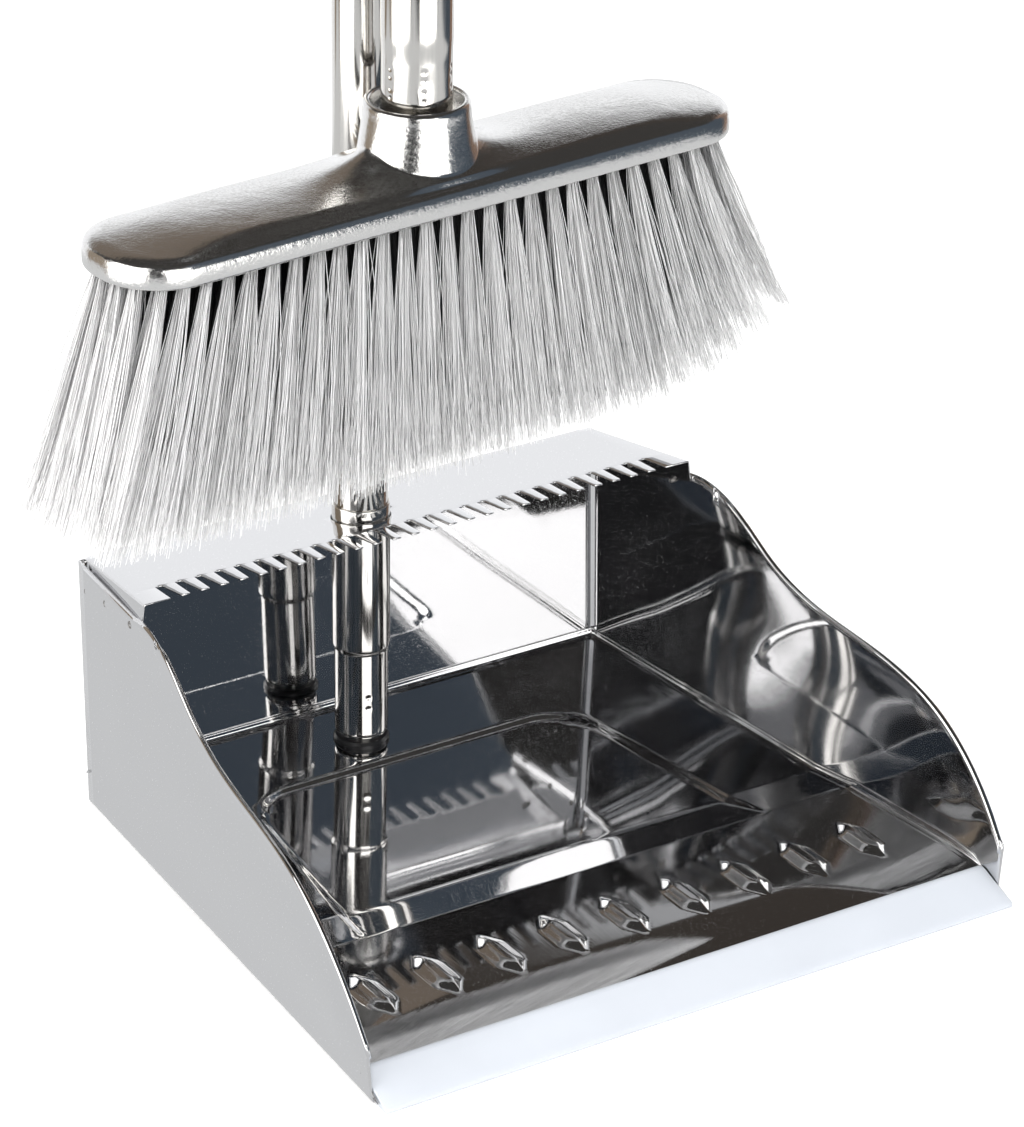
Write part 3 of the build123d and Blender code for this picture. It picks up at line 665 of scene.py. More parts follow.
def basin_inside(x, y):
    """How far inside the basin's outline a point is: it widens forward, with round back corners."""
    slope = (RIDGE_HALF - BASIN_BACK_HALF) / (BASIN_BACK_Y - RIDGE_Y)
    side_in = BASIN_BACK_HALF + slope * (BASIN_BACK_Y - y) - np.abs(x)
    back_in = BASIN_BACK_Y - y
    r = BASIN_CORNER_R
    corner = r - np.hypot(np.maximum(r - side_in, 0), np.maximum(r - back_in, 0))
    return np.where((side_in < r) & (back_in < r), corner, np.minimum(side_in, back_in))


def rib_lift(dx, dy):
    """Height of a pressed rib above the ramp, about the rib's middle."""
    near = hexagon_inside(dx, dy, RIB_LENGTH, RIB_WIDTH) * RIB_HEIGHT / RIB_RUN
    lift = smooth_min(near, np.full_like(near, RIB_HEIGHT), 0.5)
    return smooth_max(lift, np.zeros_like(lift), 0.35) * (near > -1)


def floor_height(x, y):
    """The pressed floor's upper face: ledge, basin, ridge, ribbed ramp and folded nose."""
    run = (RISE_Y - y) / (RISE_Y - RIDGE_Y)
    ledge = TRAY_Z + (RIDGE_Z - TRAY_Z) * np.clip(run, 0, 1)
    z = np.where(y > RIDGE_Y, ledge, ramp_height(y))
    inside = basin_inside(x, y)
    depth = np.maximum(inside, -3.0) * BASIN_DRAFT
    rim = smooth_min(depth, np.full_like(inside, TRAY_Z - BASIN_Z), 0.5)
    pocket = smooth_min(z, z - rim, 0.35)
    rise = BASIN_Z + (RIDGE_Z - BASIN_Z) * (RISE_Y - y) / (RISE_Y - RIDGE_Y)
    basin = smooth_max(pocket, rise, 0.5)
    z = np.where(y > RIDGE_Y - 0.01, np.minimum(basin, smooth_max(z, rise, 0.4)), z)
    for k in range(RIB_COUNT):
        z = z + rib_lift(x - (k - (RIB_COUNT - 1) / 2) * RIB_PITCH, y - RIB_Y)
    return z + FLOOR_TILT * (y - TILT_Y) * np.clip((y - RIDGE_Y) / (RISE_Y - RIDGE_Y), 0, 1)


def floor_sheet():
    """The whole pressed floor, turned up against the walls at its sides and back."""
    radius = TRAY_FOLD_R
    turn = [(radius * math.sin(a), radius * (1 - math.cos(a))) for a in np.radians([30, 60, 90])]
    edge = turn + [(radius, radius + (TRAY_FLANGE - radius) * k / 2) for k in (1, 2)]
    across = np.linspace(-1, 1, 250)
    columns = [(-1, *e) for e in reversed(edge)] + [(u, 0, 0) for u in across] + [(1, *e) for e in edge]
    # Rows stand closer at the basin's ends, the ridge, the ribs and the nose.
    depths = spaced((BACK_Y - SHEET - 1.6, -44, 4), (-44, -58, 1), (-58, -156, 4), (-156, -166, 1),
                    (-166, -182, 2), (-182, -194, 0.8), (-194, -211, 2.5), (-211, -251, 1),
                    (-251, -272, 1.6), (-272, NOSE_TIP_Y, 0.9))
    rows = [(depths[0], *e) for e in reversed(edge)] + [(y, 0, 0) for y in depths]
    points = []
    for y0, back, lift_back in rows:
        inside = half_width(y0, TRAY_Z) - SHEET - FLOOR_GAP - radius
        xs = np.array([u * inside for u, _, _ in columns])
        zs = floor_height(xs, np.full_like(xs, y0))
        upright = np.clip((y0 - NOSE_Y) / 8, 0, 1)
        for (u, out, lift), x, z in zip(columns, xs, zs):
            ease = 1.0 - max(abs(u) ** 8, 0.0 if y0 > NOSE_Y else 1.0)
            wave = waviness(x, y0, FLOOR_WAVE, 3) * ease
            points.append((x + u * out, y0 + back, z + wave + max(lift * upright, lift_back)))
    tray = new_mesh("floor_sheet", points, grid_faces(len(rows), len(columns)))
    return thicken(tray, SHEET, 1.0)


def front_lip():
    """The white rubber lip: a rounded wedge that grips the nose and meets the ground."""
    grip_top = [(NOSE_Y + 4.2, NOSE_Z + 0.2), (NOSE_Y + 3.0, NOSE_Z + 1.1),
                (NOSE_Y + 1.0, NOSE_Z + 1.6), (NOSE_Y - 1.0, NOSE_Z + 1.1)]
    slope = [(-285.0, 7.9), (-291.0, 5.5), (-295.2, 3.7), (-297.6, 2.9), (-298.7, 2.1)]
    tip = [(LIP_Y, 1.2), (-298.8, 0.4), (-298.0, 0.0), (-290.0, 0.0), (-284.0, 3.2)]
    grip_under = [(NOSE_Y + 1.0, NOSE_Z - 3.2), (NOSE_Y + 2.0, NOSE_Z - 0.6)]
    outline = grip_top + slope + tip + grip_under

    def place(u, q):
        y, z = q
        return (u * (half_width(y, z) - SHEET - LIP_GAP), y, z)

    lip = sweep("rubber_lip", np.linspace(-1, 1, 60), outline, place)
    return round_edges(lip, 0.5, 3, 50)


# ---- pan: comb hood -------------------------------------------------
def hood_z(y):
    """Upper face of the hood at a depth."""
    back = BACK_Y + BACK_LEAN
    return HOOD_BACK_Z + (HOOD_FRONT_Z - HOOD_BACK_Z) * (back - y) / (back - HOOD_FRONT_Y)


def hood_row(y, drop, taper, back, bend, gaps):
    """One row of points across the hood: left flange, the comb's edges, right flange.

    Rows of the back flange have no side flanges, so they hold None there."""
    top = hood_z(min(y, back - HOOD_FOLD_R)) + drop
    low = hood_z(y) - np.interp(y, [HOOD_FRONT_Y, back], [HOOD_FLANGE, 2 * HOOD_FLANGE])
    knee = top - HOOD_FOLD_R
    wide = half_width(y, top - HOOD_FLANGE) - SHEET - HOOD_GAP
    flange = [(wide - HOOD_LEAN * f, low + (knee - low) * f) for f in (0.0, 0.35, 0.7, 1.0)]
    flange += [(wide - HOOD_LEAN - inward, knee + (HOOD_FOLD_R - fall)) for inward, fall in bend[1:]]
    left = [None if taper is None else (-x, y, z) for x, z in flange]
    right = [None if taper is None else (x, y, z) for x, z in reversed(flange)]
    half_gap = (TOOTH_PITCH - TOOTH_ROOT) / 2 + (TOOTH_ROOT - TOOTH_TIP) / 2 * (taper or 0)
    comb = [(centre + hand * half_gap, y, top) for centre, hand in gaps]
    return left + comb + right


def comb_hood():
    """The folded hood: a plate with a comb along its front, turned down at the sides and the back."""
    back = BACK_Y + BACK_LEAN - SHEET - 0.3
    root_y = HOOD_FRONT_Y + TOOTH_LENGTH
    bend = [(HOOD_FOLD_R * (1 - math.sin(a)), HOOD_FOLD_R * (1 - math.cos(a)))
            for a in np.radians([90, 60, 30, 0])]
    gaps = [((k - TOOTH_COUNT / 2) * TOOTH_PITCH, hand)
            for k in range(TOOTH_COUNT + 1) for hand in (-1, 1)]
    tail = [(back - 0.35, -HOOD_FLANGE, None), (back - 0.2, -HOOD_FLANGE / 2, None)]
    tail += [(back - inward, -fall, None) for inward, fall in bend[:-1]]
    plate = [(y, 0.0, 0.0) for y in spaced((back - HOOD_FOLD_R, root_y, 4.0))]
    teeth = [(root_y - TOOTH_LENGTH * t, 0.0, t) for t in (0.06, 0.5, 0.97, 1.0)]
    rows = [hood_row(*station, back, bend, gaps) for station in tail + plate + teeth]
    points, lookup = [], {}
    for r, row in enumerate(rows):
        for c, point in enumerate(row):
            if point is not None:
                lookup[r, c] = len(points)
                points.append(point)
    first_comb_row = len(tail) + len(plate) - 1
    side_columns = (len(rows[0]) - len(gaps)) // 2
    faces = []
    for r in range(len(rows) - 1):
        for c in range(len(rows[0]) - 1):
            step = c - side_columns
            in_gap = 0 <= step < len(gaps) - 1 and step % 2 == 0
            corners = [(r, c), (r, c + 1), (r + 1, c + 1), (r + 1, c)]
            if (r < first_comb_row or not in_gap) and all(k in lookup for k in corners):
                faces.append([lookup[k] for k in corners])
    hood = thicken(new_mesh("comb_hood_sheet", points, faces), SHEET, 1.0)
    hole = SLEEVE_TOP_R + 0.6
    cutter = lathe("cutter", [(0.01, 100), (hole, 100), (hole, 160), (0.01, 160)], POST_X, POST_Y, 48)
    cut_away(hood, cutter)
    return round_edges(hood, 0.12, 1, 40)


def hood_rivets():
    """Six hollow rivets, one piece: a low dished head in each wall hole."""
    outline = [(0.0, -1.2), (0.9, -1.2), (0.95, 0.1), (1.25, 0.3), (1.8, 0.15), (2.0, -0.3),
               (1.2, -0.4), (1.2, -2.4), (0.0, -2.4)]
    points, faces = [], []
    segments = 20
    for side in (-1, 1):
        for y, z in RIVETS:
            base = len(points)
            skin = half_width(y, z)
            for radius, out in outline:
                for k in range(segments):
                    a = 2 * math.pi * k / segments
                    across = side * (skin + out)
                    points.append((across, y + radius * math.cos(a), z + side * radius * math.sin(a)))
            for face in grid_faces(len(outline), segments, close_columns=True):
                faces.append([base + index for index in face])
    return new_mesh("hood_rivet_set", points, faces)


# ---- post and handle tubes ------------------------------------------
def punch(angle, height, depth, wide, tall):
    """A dent in a tube's wall, as a crimping punch leaves."""
    def dent(a, z, radius):
        turn = (a - angle + math.pi) % (2 * math.pi) - math.pi
        return -depth * math.exp(-((turn * radius / wide) ** 2) - ((z - height) / tall) ** 2)
    return dent


def all_dents(*dents):
    """Several dents in one tube."""
    return lambda a, z, radius: sum(d(a, z, radius) for d in dents)


def smooth_step(t):
    """From 0 to 1 with a soft start and end, as a swaged tube changes its radius."""
    return 0.5 - 0.5 * math.cos(math.pi * t)


def post_sleeve():
    """The post's foot tube, swelled at the top, with two punched crimps near its foot."""
    low, high = node_box("post_sleeve")
    grow = SLEEVE_TOP_R - POST_R
    up = spaced((low.z + 1.6, low.z + 24, 0.8), (low.z + 24, SWAGE_LOW - 1.5, 4))
    outer = [(POST_R - 1.2, low.z), (POST_R - 0.5, low.z + 0.3), (POST_R - EASED, low.z + 0.9)]
    outer += [(POST_R, z) for z in up]
    outer += [(POST_R + grow * smooth_step(t), SWAGE_LOW - 1.0 + (SWAGE_HIGH - SWAGE_LOW) * t)
              for t in np.linspace(0, 1, 9)]
    outer += [(SLEEVE_TOP_R, z) for z in np.linspace(SWAGE_HIGH + 2, high.z - 0.6, 8)]
    outer += [(SLEEVE_TOP_R - EASED, high.z - 0.15), (SLEEVE_TOP_R - 0.4, high.z)]
    inner = [(POST_R + 0.1, high.z), (POST_R + 0.1, SWAGE_HIGH), (POST_R - TUBE_WALL, SWAGE_LOW),
             (POST_R - 1.2, low.z + 0.6)]
    crimps = all_dents(*(punch(POST_CRIMP_TURN, z, *POST_CRIMP_PUNCH) for z in POST_CRIMPS))
    return lathe("post_foot_tube", outer + inner, POST_X, POST_Y, 128, crimps)


def handle_tube(name, node, radius, x, y):
    """A long handle tube with eased ends, in place of its CAD node."""
    low, high = node_box(node)
    outline = [(radius - TUBE_WALL, low.z), (radius - EASED, low.z), (radius, low.z + 0.15)]
    outline += [(radius, z) for z in np.linspace(low.z + 4, high.z - 4, 12)]
    outline += [(radius, high.z - 0.15), (radius - EASED, high.z), (radius - TUBE_WALL, high.z)]
    return lathe(name, outline, x, y, 96)


def broom_neck_tube():
    """The broom's lower tube, a little drawn in at its end and crimped on the plug inside."""
    low, high = node_box("broom_tube_lower")
    top = HEAD_Z + NECK_TOP
    outline = [(NECK_R - TUBE_WALL, low.z), (NECK_R, low.z)]
    outline += [(NECK_R, z) for z in spaced((low.z + 6, HEAD_Z + 45, 2), (HEAD_Z + 45, top, 0.5))]
    outline += [(NECK_R + (BROOM_R - NECK_R) * smooth_step(t), top + NECK_SWAGE * t)
                for t in np.linspace(0.05, 1, 9)]
    outline += [(BROOM_R, z) for z in np.linspace(top + NECK_SWAGE + 5, high.z - 0.15, 12)]
    outline += [(BROOM_R - EASED, high.z), (BROOM_R - TUBE_WALL, high.z)]
    dents = []
    for line in range(CRIMP_LINES):
        turn = math.radians(CRIMP_TURN) + line * 2 * math.pi / CRIMP_LINES
        dents.append(punch(turn, HEAD_Z + CRIMP_HOLLOW, *CRIMP_HOLLOW_PUNCH))
        for height in CRIMP_DOTS:
            dents.append(punch(turn, HEAD_Z + height, *CRIMP_DOT_PUNCH))
    return lathe("broom_neck_tube", outline, BROOM_X, BROOM_Y, 256, all_dents(*dents))


# ---- broom head -----------------------------------------------------
HEAD_SKIN = 2.4
HEAD_RIM = (                # inset and height of each ring, from the inside round to the top
    (HEAD_SKIN, 8.8), (HEAD_SKIN, 3.0), (HEAD_SKIN, 0.8), (1.6, 0.1), (1.0, 0.0),
    (0.5, 0.25), (0.15, 0.8), (0.0, 2.0), (0.0, 4.0), (0.05, 6.0),
    (0.25, 8.2), (0.8, 9.9), (1.7, 11.0), (2.8, 11.5))
CROWN_INSET = 4.2
CROWN_START = 12.3
CROWN = 2.2                 # rise of the middle over the long edges
SHOULDER = 1.6              # extra rise halfway along each arm
SHOULDER_X = 95
SHOULDER_RUN = 50
FLARE = 13.0                # rise of the skirt that sweeps up into the socket
FLARE_START = 15
FLARE_RUN = 8.5
EVEN_TURN = 14.0            # millimetres of outline that a radian is worth, so round ends get points
SOCKET_CONE_TOP = 40.0
SOCKET_LIP = (              # radius and height of each ring, over the rim and down the bore
    (SOCKET_RIM_R, 41.6), (SOCKET_RIM_R - 0.2, 42.6), (SOCKET_RIM_R - 0.7, 43.5),
    (SOCKET_RIM_R - 1.4, SOCKET_TOP), (SOCKET_BORE_R + 0.6, SOCKET_TOP - 0.1),
    (SOCKET_BORE_R + 0.1, SOCKET_TOP - 0.6), (SOCKET_BORE_R, 42.5), (SOCKET_BORE_R - 0.4, 38.0),
    (SOCKET_BORE_R - 1.4, 31.0), (14.5, 30.2), (14.1, 29.0), (14.1, 9.0), (15.5, 8.8))


def head_plan(a, inset):
    """The head's rounded plan at an angle about its middle."""
    radius = max(1.0, HEAD_CORNER_R - inset)
    half_length = HEAD_LENGTH / 2 - inset
    core_x, core_y = half_length - radius, HEAD_WIDTH / 2 - inset - radius
    c, s = math.cos(a), math.sin(a)
    low, high = 0.0, half_length * 1.2
    for _ in range(40):
        mid = (low + high) / 2
        dx, dy = max(abs(mid * c) - core_x, 0), max(abs(mid * s) - core_y, 0)
        if math.hypot(dx, dy) < radius:
            low = mid
        else:
            high = mid
    return low * c, low * s


def head_turns():
    """Angles about the head's middle, spaced evenly along its outline."""
    fine = np.linspace(0, 2 * math.pi, 2881)[:-1]
    line = np.array([head_plan(a, 0.0) for a in fine])
    steps = np.linalg.norm(np.roll(line, -1, axis=0) - line, axis=1)
    steps = steps + EVEN_TURN * 2 * math.pi / len(fine)
    run = np.concatenate([[0], np.cumsum(steps)])
    wanted = np.linspace(0, run[-1], HEAD_SEGMENTS + 1)[:-1]
    return np.interp(wanted, run, np.append(fine, 2 * math.pi))


def head_top(x, y):
    """The head's upper face: crowned, dipping beside the socket, then swept up into it."""
    crown = CROWN * (1 - (y / (HEAD_WIDTH / 2)) ** 2)
    crown += SHOULDER * math.exp(-((abs(x) - SHOULDER_X) / SHOULDER_RUN) ** 2)
    reach = math.hypot(x * 0.62, y * 1.15)
    flare = FLARE * math.exp(-max(0.0, reach - FLARE_START) / FLARE_RUN)
    return HEAD_EDGE_Z + crown + flare


def ring_about(base, radius, z):
    """A level ring round the socket's axis, in step with the points of the ring below it."""
    angles = [math.atan2(y, x) for x, y, _ in base]
    return [(radius * math.cos(a), radius * math.sin(a), z) for a in angles]


def to_broom(points):
    """Points about the head's middle, turned with the head and set on the broom, as x, y, z."""
    x, y, z = np.asarray(points).T
    cos, sin = math.cos(HEAD_TURN), math.sin(HEAD_TURN)
    return np.stack([BROOM_X + x * cos - y * sin, BROOM_Y + x * sin + y * cos, HEAD_Z + z], axis=1)


def head_casting():
    """The chromed head: rounded rim, crowned top and flared socket, open underneath."""
    turns = head_turns()
    rings = [[(*head_plan(a, inset), z) for a in turns] for inset, z in HEAD_RIM]
    edge = [head_plan(a, CROWN_INSET) for a in turns]
    for t in np.linspace(0, 1, 34):
        ease = 1 - (1 - min(1.0, t * 4)) ** 2
        s = t ** 0.9
        ring = []
        for ex, ey in edge:
            angle = math.atan2(ey, ex)
            cx, cy = SOCKET_BASE_R * math.cos(angle), SOCKET_BASE_R * math.sin(angle)
            x, y = ex + (cx - ex) * s, ey + (cy - ey) * s
            ring.append((x, y, CROWN_START + (head_top(x, y) - CROWN_START) * ease))
        rings.append(ring)
    base = rings[-1]
    for t in np.linspace(0.08, 1, 10):
        radius = SOCKET_BASE_R + (SOCKET_RIM_R - SOCKET_BASE_R) * (1 - (1 - t) ** 1.3)
        heights = [z + (SOCKET_CONE_TOP - z) * t for _, _, z in base]
        rings.append([(x, y, z) for (x, y, _), z in zip(ring_about(base, radius, 0.0), heights)])
    rings += [ring_about(base, radius, z) for radius, z in SOCKET_LIP]
    points = to_broom([point for ring in rings for point in ring])
    return new_mesh("chromed_head", points, grid_faces(len(rings), len(turns), True, True))


# ---- bristles -------------------------------------------------------
def tuft_frame(row, index):
    """Root and tip of a tuft's middle, about the head's middle."""
    across = (row - (ROWS - 1) / 2) * ROW_PITCH
    u = (index - (TUFTS - 1) / 2) / ((TUFTS - 1) / 2)
    shrink = 1 - ROW_SHRINK * abs(row - ROWS // 2) ** 2
    fan = (FRONT_FAN if across < 0 else BACK_FAN) * across
    worn = (WORN_RIGHT if u > 0 else WORN_LEFT) * abs(u) ** 5
    root = (ROOT_HALF * u * shrink, across, 1.5)
    tip = (TIP_HALF * u * (0.94 + 0.06 * abs(u)), across + fan, -(BRISTLE_LENGTH - worn))
    return np.array(root), np.array(tip)


def strand(rng, root, tip, stations):
    """One crimped filament's middle line, from a tuft's root to its fanned tip."""
    angle, out = rng.uniform(0, 2 * math.pi), math.sqrt(rng.uniform(0, 1))
    a, b = out * math.cos(angle), out * math.sin(angle)
    start = root + np.array([a * TUFT_ROOT_R, b * TUFT_ROOT_R * ROOT_FLATTEN, 0])
    stray = rng.normal(0, STRAY, 3) * (WILD if rng.uniform() < WILD_SHARE else 1.0)
    end = tip + np.array([a * TUFT_TIP_R, b * TUFT_TIP_R * TUFT_FLATTEN, 0]) + stray * [1, 1, 0]
    end[2] += rng.normal(0, UNEVEN) + DOME * (a * a + b * b)
    end[0] -= TIP_FOLD * (max(end[0] - TIP_REACH, 0) + min(end[0] + TIP_REACH, 0))
    sag = rng.normal(0, SAG, 2)
    phase = rng.uniform(0, 2 * math.pi, 2)
    t = stations[:, None]
    line = start + (end - start) * (0.72 * t + 0.28 * t ** 1.6)
    line[:, 2] = start[2] + (end[2] - start[2]) * stations
    bow = np.sin(math.pi * stations)
    line[:, 0] += sag[0] * bow + KINK * np.sin(stations * KINKS + phase[0]) * stations
    line[:, 1] += sag[1] * bow + KINK * np.cos(stations * KINKS + phase[1]) * stations
    return line


def bristle_row(row):
    """One row of tufts, every filament its own thin tapered, crimped strand."""
    rng = np.random.default_rng(40 + row)
    stations = np.array([0.0, 0.1, 0.24, 0.4, 0.56, 0.72, 0.87, 1.0])
    turn = np.radians([0, 120, 240])
    ring = np.stack([np.cos(turn), np.sin(turn), np.zeros(3)], axis=1)
    thick = FILAMENT_R * (1.0 - FILAMENT_TAPER * stations)
    all_points, all_tones_and_painted_shade = [], []
    for index in range(TUFTS):
        root, tip = tuft_frame(row, index)
        tuft_shade = rng.uniform(-TUFT_SHADE, TUFT_SHADE)
        outer = row in (0, ROWS - 1) or index in (0, 1, TUFTS - 2, TUFTS - 1)
        # painted shade: each strand is darkened towards its root, deeply in the inner tufts and lightly
        # in the outer ones, for the shade between the tufts
        lit = np.clip((stations - (PAINTED_SHADE_OUTER if outer else PAINTED_SHADE_INNER)) / PAINTED_SHADE_RUN, 0.0, 1.0)
        for _ in range(FILAMENTS):
            line = strand(rng, root, tip, stations)
            points = line[:, None, :] + ring[None, :, :] * thick[:, None, None]
            all_points.append(points.reshape(-1, 3))
            own = rng.uniform(*STRAND_SHADE) + tuft_shade
            all_tones_and_painted_shade.append(np.repeat(np.clip(own * lit + TIP_SHADE * stations ** 2, 0, 1), 3))
    strip = np.array(grid_faces(len(stations), 3, close_columns=True))
    starts = np.arange(len(all_points)) * len(stations) * 3
    faces = (strip[None, :, :] + starts[:, None, None]).reshape(-1, 4)
    points = to_broom(np.concatenate(all_points)) * MM
    mesh = bpy.data.meshes.new(f"tufts_row_{row + 1}")
    mesh.vertices.add(len(points))
    mesh.vertices.foreach_set("co", points.ravel())
    mesh.loops.add(faces.size)
    mesh.loops.foreach_set("vertex_index", faces.ravel())
    mesh.polygons.add(len(faces))
    mesh.polygons.foreach_set("loop_start", np.arange(0, faces.size, 4))
    mesh.update(calc_edges=True)
    mesh.polygons.foreach_set("use_smooth", np.ones(len(faces), bool))
    # the attribute holds each strand's own random tone, its paler tip, and the painted shade near its
    # root
    tone_and_painted_shade = mesh.attributes.new("tone_and_painted_shade", "FLOAT", "POINT")
    tone_and_painted_shade.data.foreach_set("value", np.concatenate(all_tones_and_painted_shade).astype(np.float32))
    return place_mesh(mesh)


# ---- studio: cards, lights and camera -------------------------------
def glow(name, colour, strength):
    """A plain emitting material for the studio's cards."""
    material = bpy.data.materials.new(name)
    material.use_nodes = True
    nodes = material.node_tree.nodes
    nodes.clear()
    out = nodes.new("ShaderNodeOutputMaterial")
    light = nodes.new("ShaderNodeEmission")
    light.inputs["Color"].default_value = (*colour, 1.0)
    light.inputs["Strength"].default_value = strength
    material.node_tree.links.new(light.outputs["Emission"], out.inputs["Surface"])
    return material


def card(name, turn, spread, low, high, radius, colour, strength):
    """A curved card round the set: turn and spread in degrees, low and high in metres.

    Turn 0 is the side the pan opens to, and 90 is to the right of it."""
    angles = np.radians(np.linspace(turn - spread, turn + spread, 40))
    points = [(radius * math.sin(a) / MM, (STUDIO_Y - radius * math.cos(a)) / MM, z / MM)
              for z in np.linspace(low, high, 12) for a in angles]
    piece = new_mesh(name, points, grid_faces(12, 40))
    piece.data.materials.append(glow(name, colour, strength))
    piece.visible_camera = False
    piece.visible_shadow = False
    return piece


def flat(name, half, z, material):
    """A level square of the studio."""
    y = STUDIO_Y / MM
    points = [(-half, y - half, z), (half, y - half, z), (half, y + half, z), (-half, y + half, z)]
    piece = new_mesh(name, points, [(0, 1, 2, 3)], smooth=False)
    piece.data.materials.append(material)
    return piece


def area_light(name, place, aim, size, power):
    """A square soft light, which the steel doesn't mirror."""
    data = bpy.data.lights.new(name, "AREA")
    data.shape = "RECTANGLE"
    data.size, data.size_y = size, size
    data.energy = power
    lamp = bpy.data.objects.new(name, data)
    bpy.context.scene.collection.objects.link(lamp)
    lamp.location = place
    lamp.rotation_mode = "QUATERNION"
    lamp.rotation_quaternion = (Vector(aim) - Vector(place)).to_track_quat("-Z", "Y")
    lamp.visible_glossy = False
    return lamp


def studio():
    """A pale floor under soft light, with white and dark cards for the steel to reflect."""
    scene = bpy.context.scene
    scene.world = world = bpy.data.worlds.new("room")
    world.use_nodes = True
    background = world.node_tree.nodes["Background"]
    background.inputs["Color"].default_value = (0.10, 0.095, 0.09, 1.0)
    background.inputs["Strength"].default_value = 0.5
    pale = Shader("pale_floor", (0.86, 0.86, 0.86), 0.0, 0.9)
    pale.set("Emission Color", (1.0, 1.0, 1.0, 1.0))
    pale.set("Emission Strength", FLOOR_GLOW)
    floor = flat("floor", 9000, 0.0, pale.material)
    floor.visible_glossy = False
    table = flat("table_top", 900, 0.4, glow("table_top", (0.93, 0.94, 0.95), 0.82))
    table.visible_camera = False
    table.visible_diffuse = False
    table.visible_shadow = False
    card("right_softbox_low", 4.5, 28.5, CARD_FOOT, 0.25, NEAR, WARM_WHITE, 3.2)
    card("right_softbox_high", -7.5, 20.5, 0.25, 0.97, NEAR, WARM_WHITE, 3.2)
    card("left_softbox", -86, 32, CARD_FOOT, 1.6, NEAR, WARM_WHITE, 3.0)
    card("dark_gap", -39, 15, CARD_FOOT, 2.2, MIDWAY, NEAR_BLACK, 0.5)
    card("right_wall", 53, 41, CARD_FOOT, 2.2, FAR, BLUE_DARK, 1.0)
    card("right_brown", 105, 14, CARD_FOOT, 2.0, FAR, RED_BROWN, 1.0)
    card("left_brown", -145, 27, CARD_FOOT, 1.2, FAR, TAN_BROWN, 1.0)
    card("backdrop", 160, 48, CARD_FOOT, 1.25, FAR, COOL_WHITE, 1.2)
    card("backdrop_fade", 160, 48, 1.25, 1.5, FAR, COOL_WHITE, 0.48)
    card("backdrop_top_right", 130, 18, 1.5, 3.2, FAR, DEEP_BROWN, 1.0)
    card("backdrop_top_left", 178, 30, 1.5, 3.2, FAR, BROWN_DARK, 1.0)
    area_light("overhead", (0.1, 0.2, 3.0), (0, 0.1, 0.0), 2.4, 85)
    area_light("front_fill", (-1.2, -2.2, 1.6), (0, -0.1, 0.2), 1.2, 42)
    scene.view_settings.view_transform = "Standard"
    scene.cycles.caustics_reflective = False
    scene.cycles.caustics_refractive = False
    scene.cycles.max_bounces = 12
    scene.cycles.glossy_bounces = 9


def camera():
    """The camera, at the viewing angle of a person looking down at the pan from its left front."""
    turn, height = math.radians(CAMERA_TURN), math.radians(CAMERA_HEIGHT)
    level = math.cos(height)
    back = Vector((math.sin(turn) * level, -math.cos(turn) * level, math.sin(height)))
    roll = Quaternion((0, 0, 1), math.radians(CAMERA_ROLL))
    data = bpy.data.cameras.new("camera")
    data.sensor_width = 36.0
    data.lens = CAMERA_LENS
    data.clip_end = 60.0
    eye = bpy.data.objects.new("camera", data)
    bpy.context.scene.collection.objects.link(eye)
    eye.location = Vector(CAMERA_AIM) * MM + back * CAMERA_DISTANCE * MM
    eye.rotation_mode = "QUATERNION"
    eye.rotation_quaternion = (-back).to_track_quat("-Z", "Y") @ roll
    bpy.context.scene.camera = eye


# ---- the whole set --------------------------------------------------
def dress_cad(node, look, edge=0.0):
    """Keep a CAD node, in its finish, with small round edges if asked."""
    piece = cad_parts[node]
    piece.data.materials.clear()
    piece.data.materials.append(LOOKS[look])
    if edge:
        round_edges(piece, edge, 2, 40)


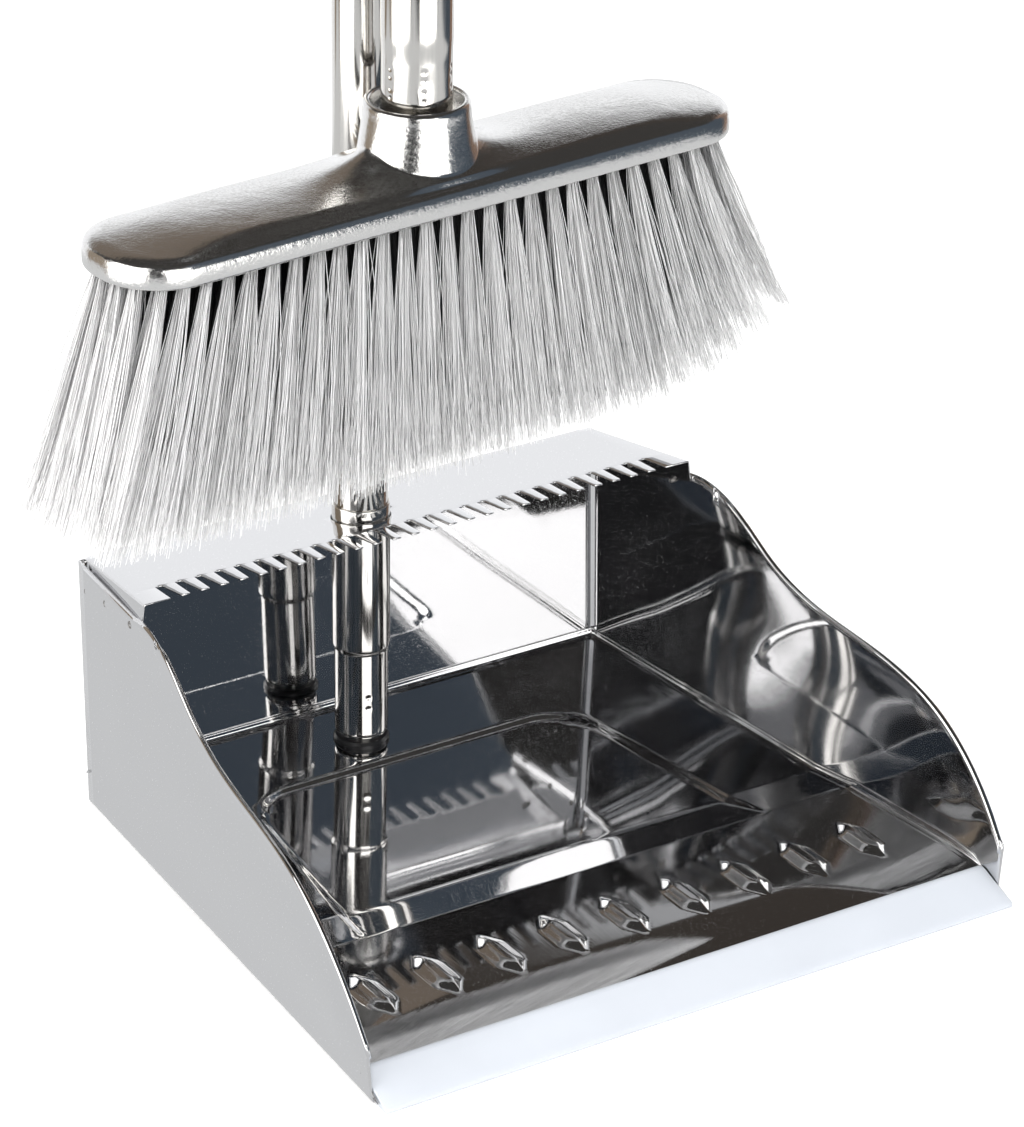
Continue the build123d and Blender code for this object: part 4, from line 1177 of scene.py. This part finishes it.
def build_pan():
    steel = LOOKS["mirror_steel"]
    for side, hand in ((-1, "left"), (1, "right")):
        finish_piece(side_wall(side), "pan", steel, f"{hand}_side_wall", slot="mirror_steel")
        finish_piece(edge_hem(side), "pan", steel, f"{hand}_edge_hem", slot="mirror_steel")
    finish_piece(back_sheet(), "pan", steel, "back_wall", slot="mirror_steel")
    finish_piece(floor_sheet(), "pan", steel, "floor_tray", slot="mirror_steel")
    finish_piece(comb_hood(), "pan", steel, "comb_hood", slot="mirror_steel")
    finish_piece(front_lip(), "pan", LOOKS["white_rubber"], "front_lip", slot="white_rubber")
    finish_piece(hood_rivets(), "pan", LOOKS["rivet_steel"], "hood_rivets", slot="rivet_steel")


def build_post():
    tube = LOOKS["tube_steel"]
    finish_piece(post_sleeve(), "pan", tube, "post_sleeve", slot="tube_steel")
    for part in ("lower", "upper"):
        piece = handle_tube(f"post_{part}_tube", f"post_tube_{part}", POST_R, POST_X, POST_Y)
        finish_piece(piece, "pan", tube, f"post_tube_{part}", slot="tube_steel")


def build_broom():
    tube = LOOKS["tube_steel"]
    finish_piece(broom_neck_tube(), "broom", tube, "broom_tube_lower", slot="tube_steel")
    piece = handle_tube("broom_upper_tube", "broom_tube_upper", BROOM_R, BROOM_X, BROOM_Y)
    finish_piece(piece, "broom", tube, "broom_tube_upper", slot="tube_steel")
    finish_piece(head_casting(), "broom", LOOKS["head_chrome"], "head_shell", slot="head_chrome")
    for row in range(ROWS):
        tufts = bristle_row(row)
        finish_piece(tufts, "broom", LOOKS["bristle"], f"bristle_row_{row + 1}", slot="bristle")


def dress_small_parts():
    finishes = {
        "post_gasket": ("black_rubber", 0.3), "post_plug": ("tube_steel", 0.2),
        "floor_stiffener": ("plain_steel", 0.2), "post_washer": ("zinc_screw", 0.15),
        "post_screw": ("zinc_screw", 0.2), "post_joiner": ("black_plastic", 0.0),
        "post_ferrule": ("black_plastic", 0.0), "post_cap": ("black_plastic", 0.3),
        "broom_joiner": ("black_plastic", 0.0), "broom_ferrule": ("black_plastic", 0.0),
        "broom_cap": ("black_plastic", 0.3), "clip_collar": ("grey_plastic", 0.5),
        "clip_jaw": ("grey_plastic", 0.4), "clip_screw": ("zinc_screw", 0.15),
        "pinch_screw": ("zinc_screw", 0.15), "pinch_nut": ("zinc_screw", 0.15),
        "bristle_block": ("black_plastic", 0.0), "block_screws": ("zinc_screw", 0.1),
        "tuft_staples": ("plain_steel", 0.0), "socket_insert": ("black_plastic", 0.0),
        "broom_end_plug": ("black_plastic", 0.0),
    }
    for node, (look, edge) in finishes.items():
        dress_cad(node, look, edge)


build_pan()
build_post()
build_broom()
dress_small_parts()
studio()
camera()
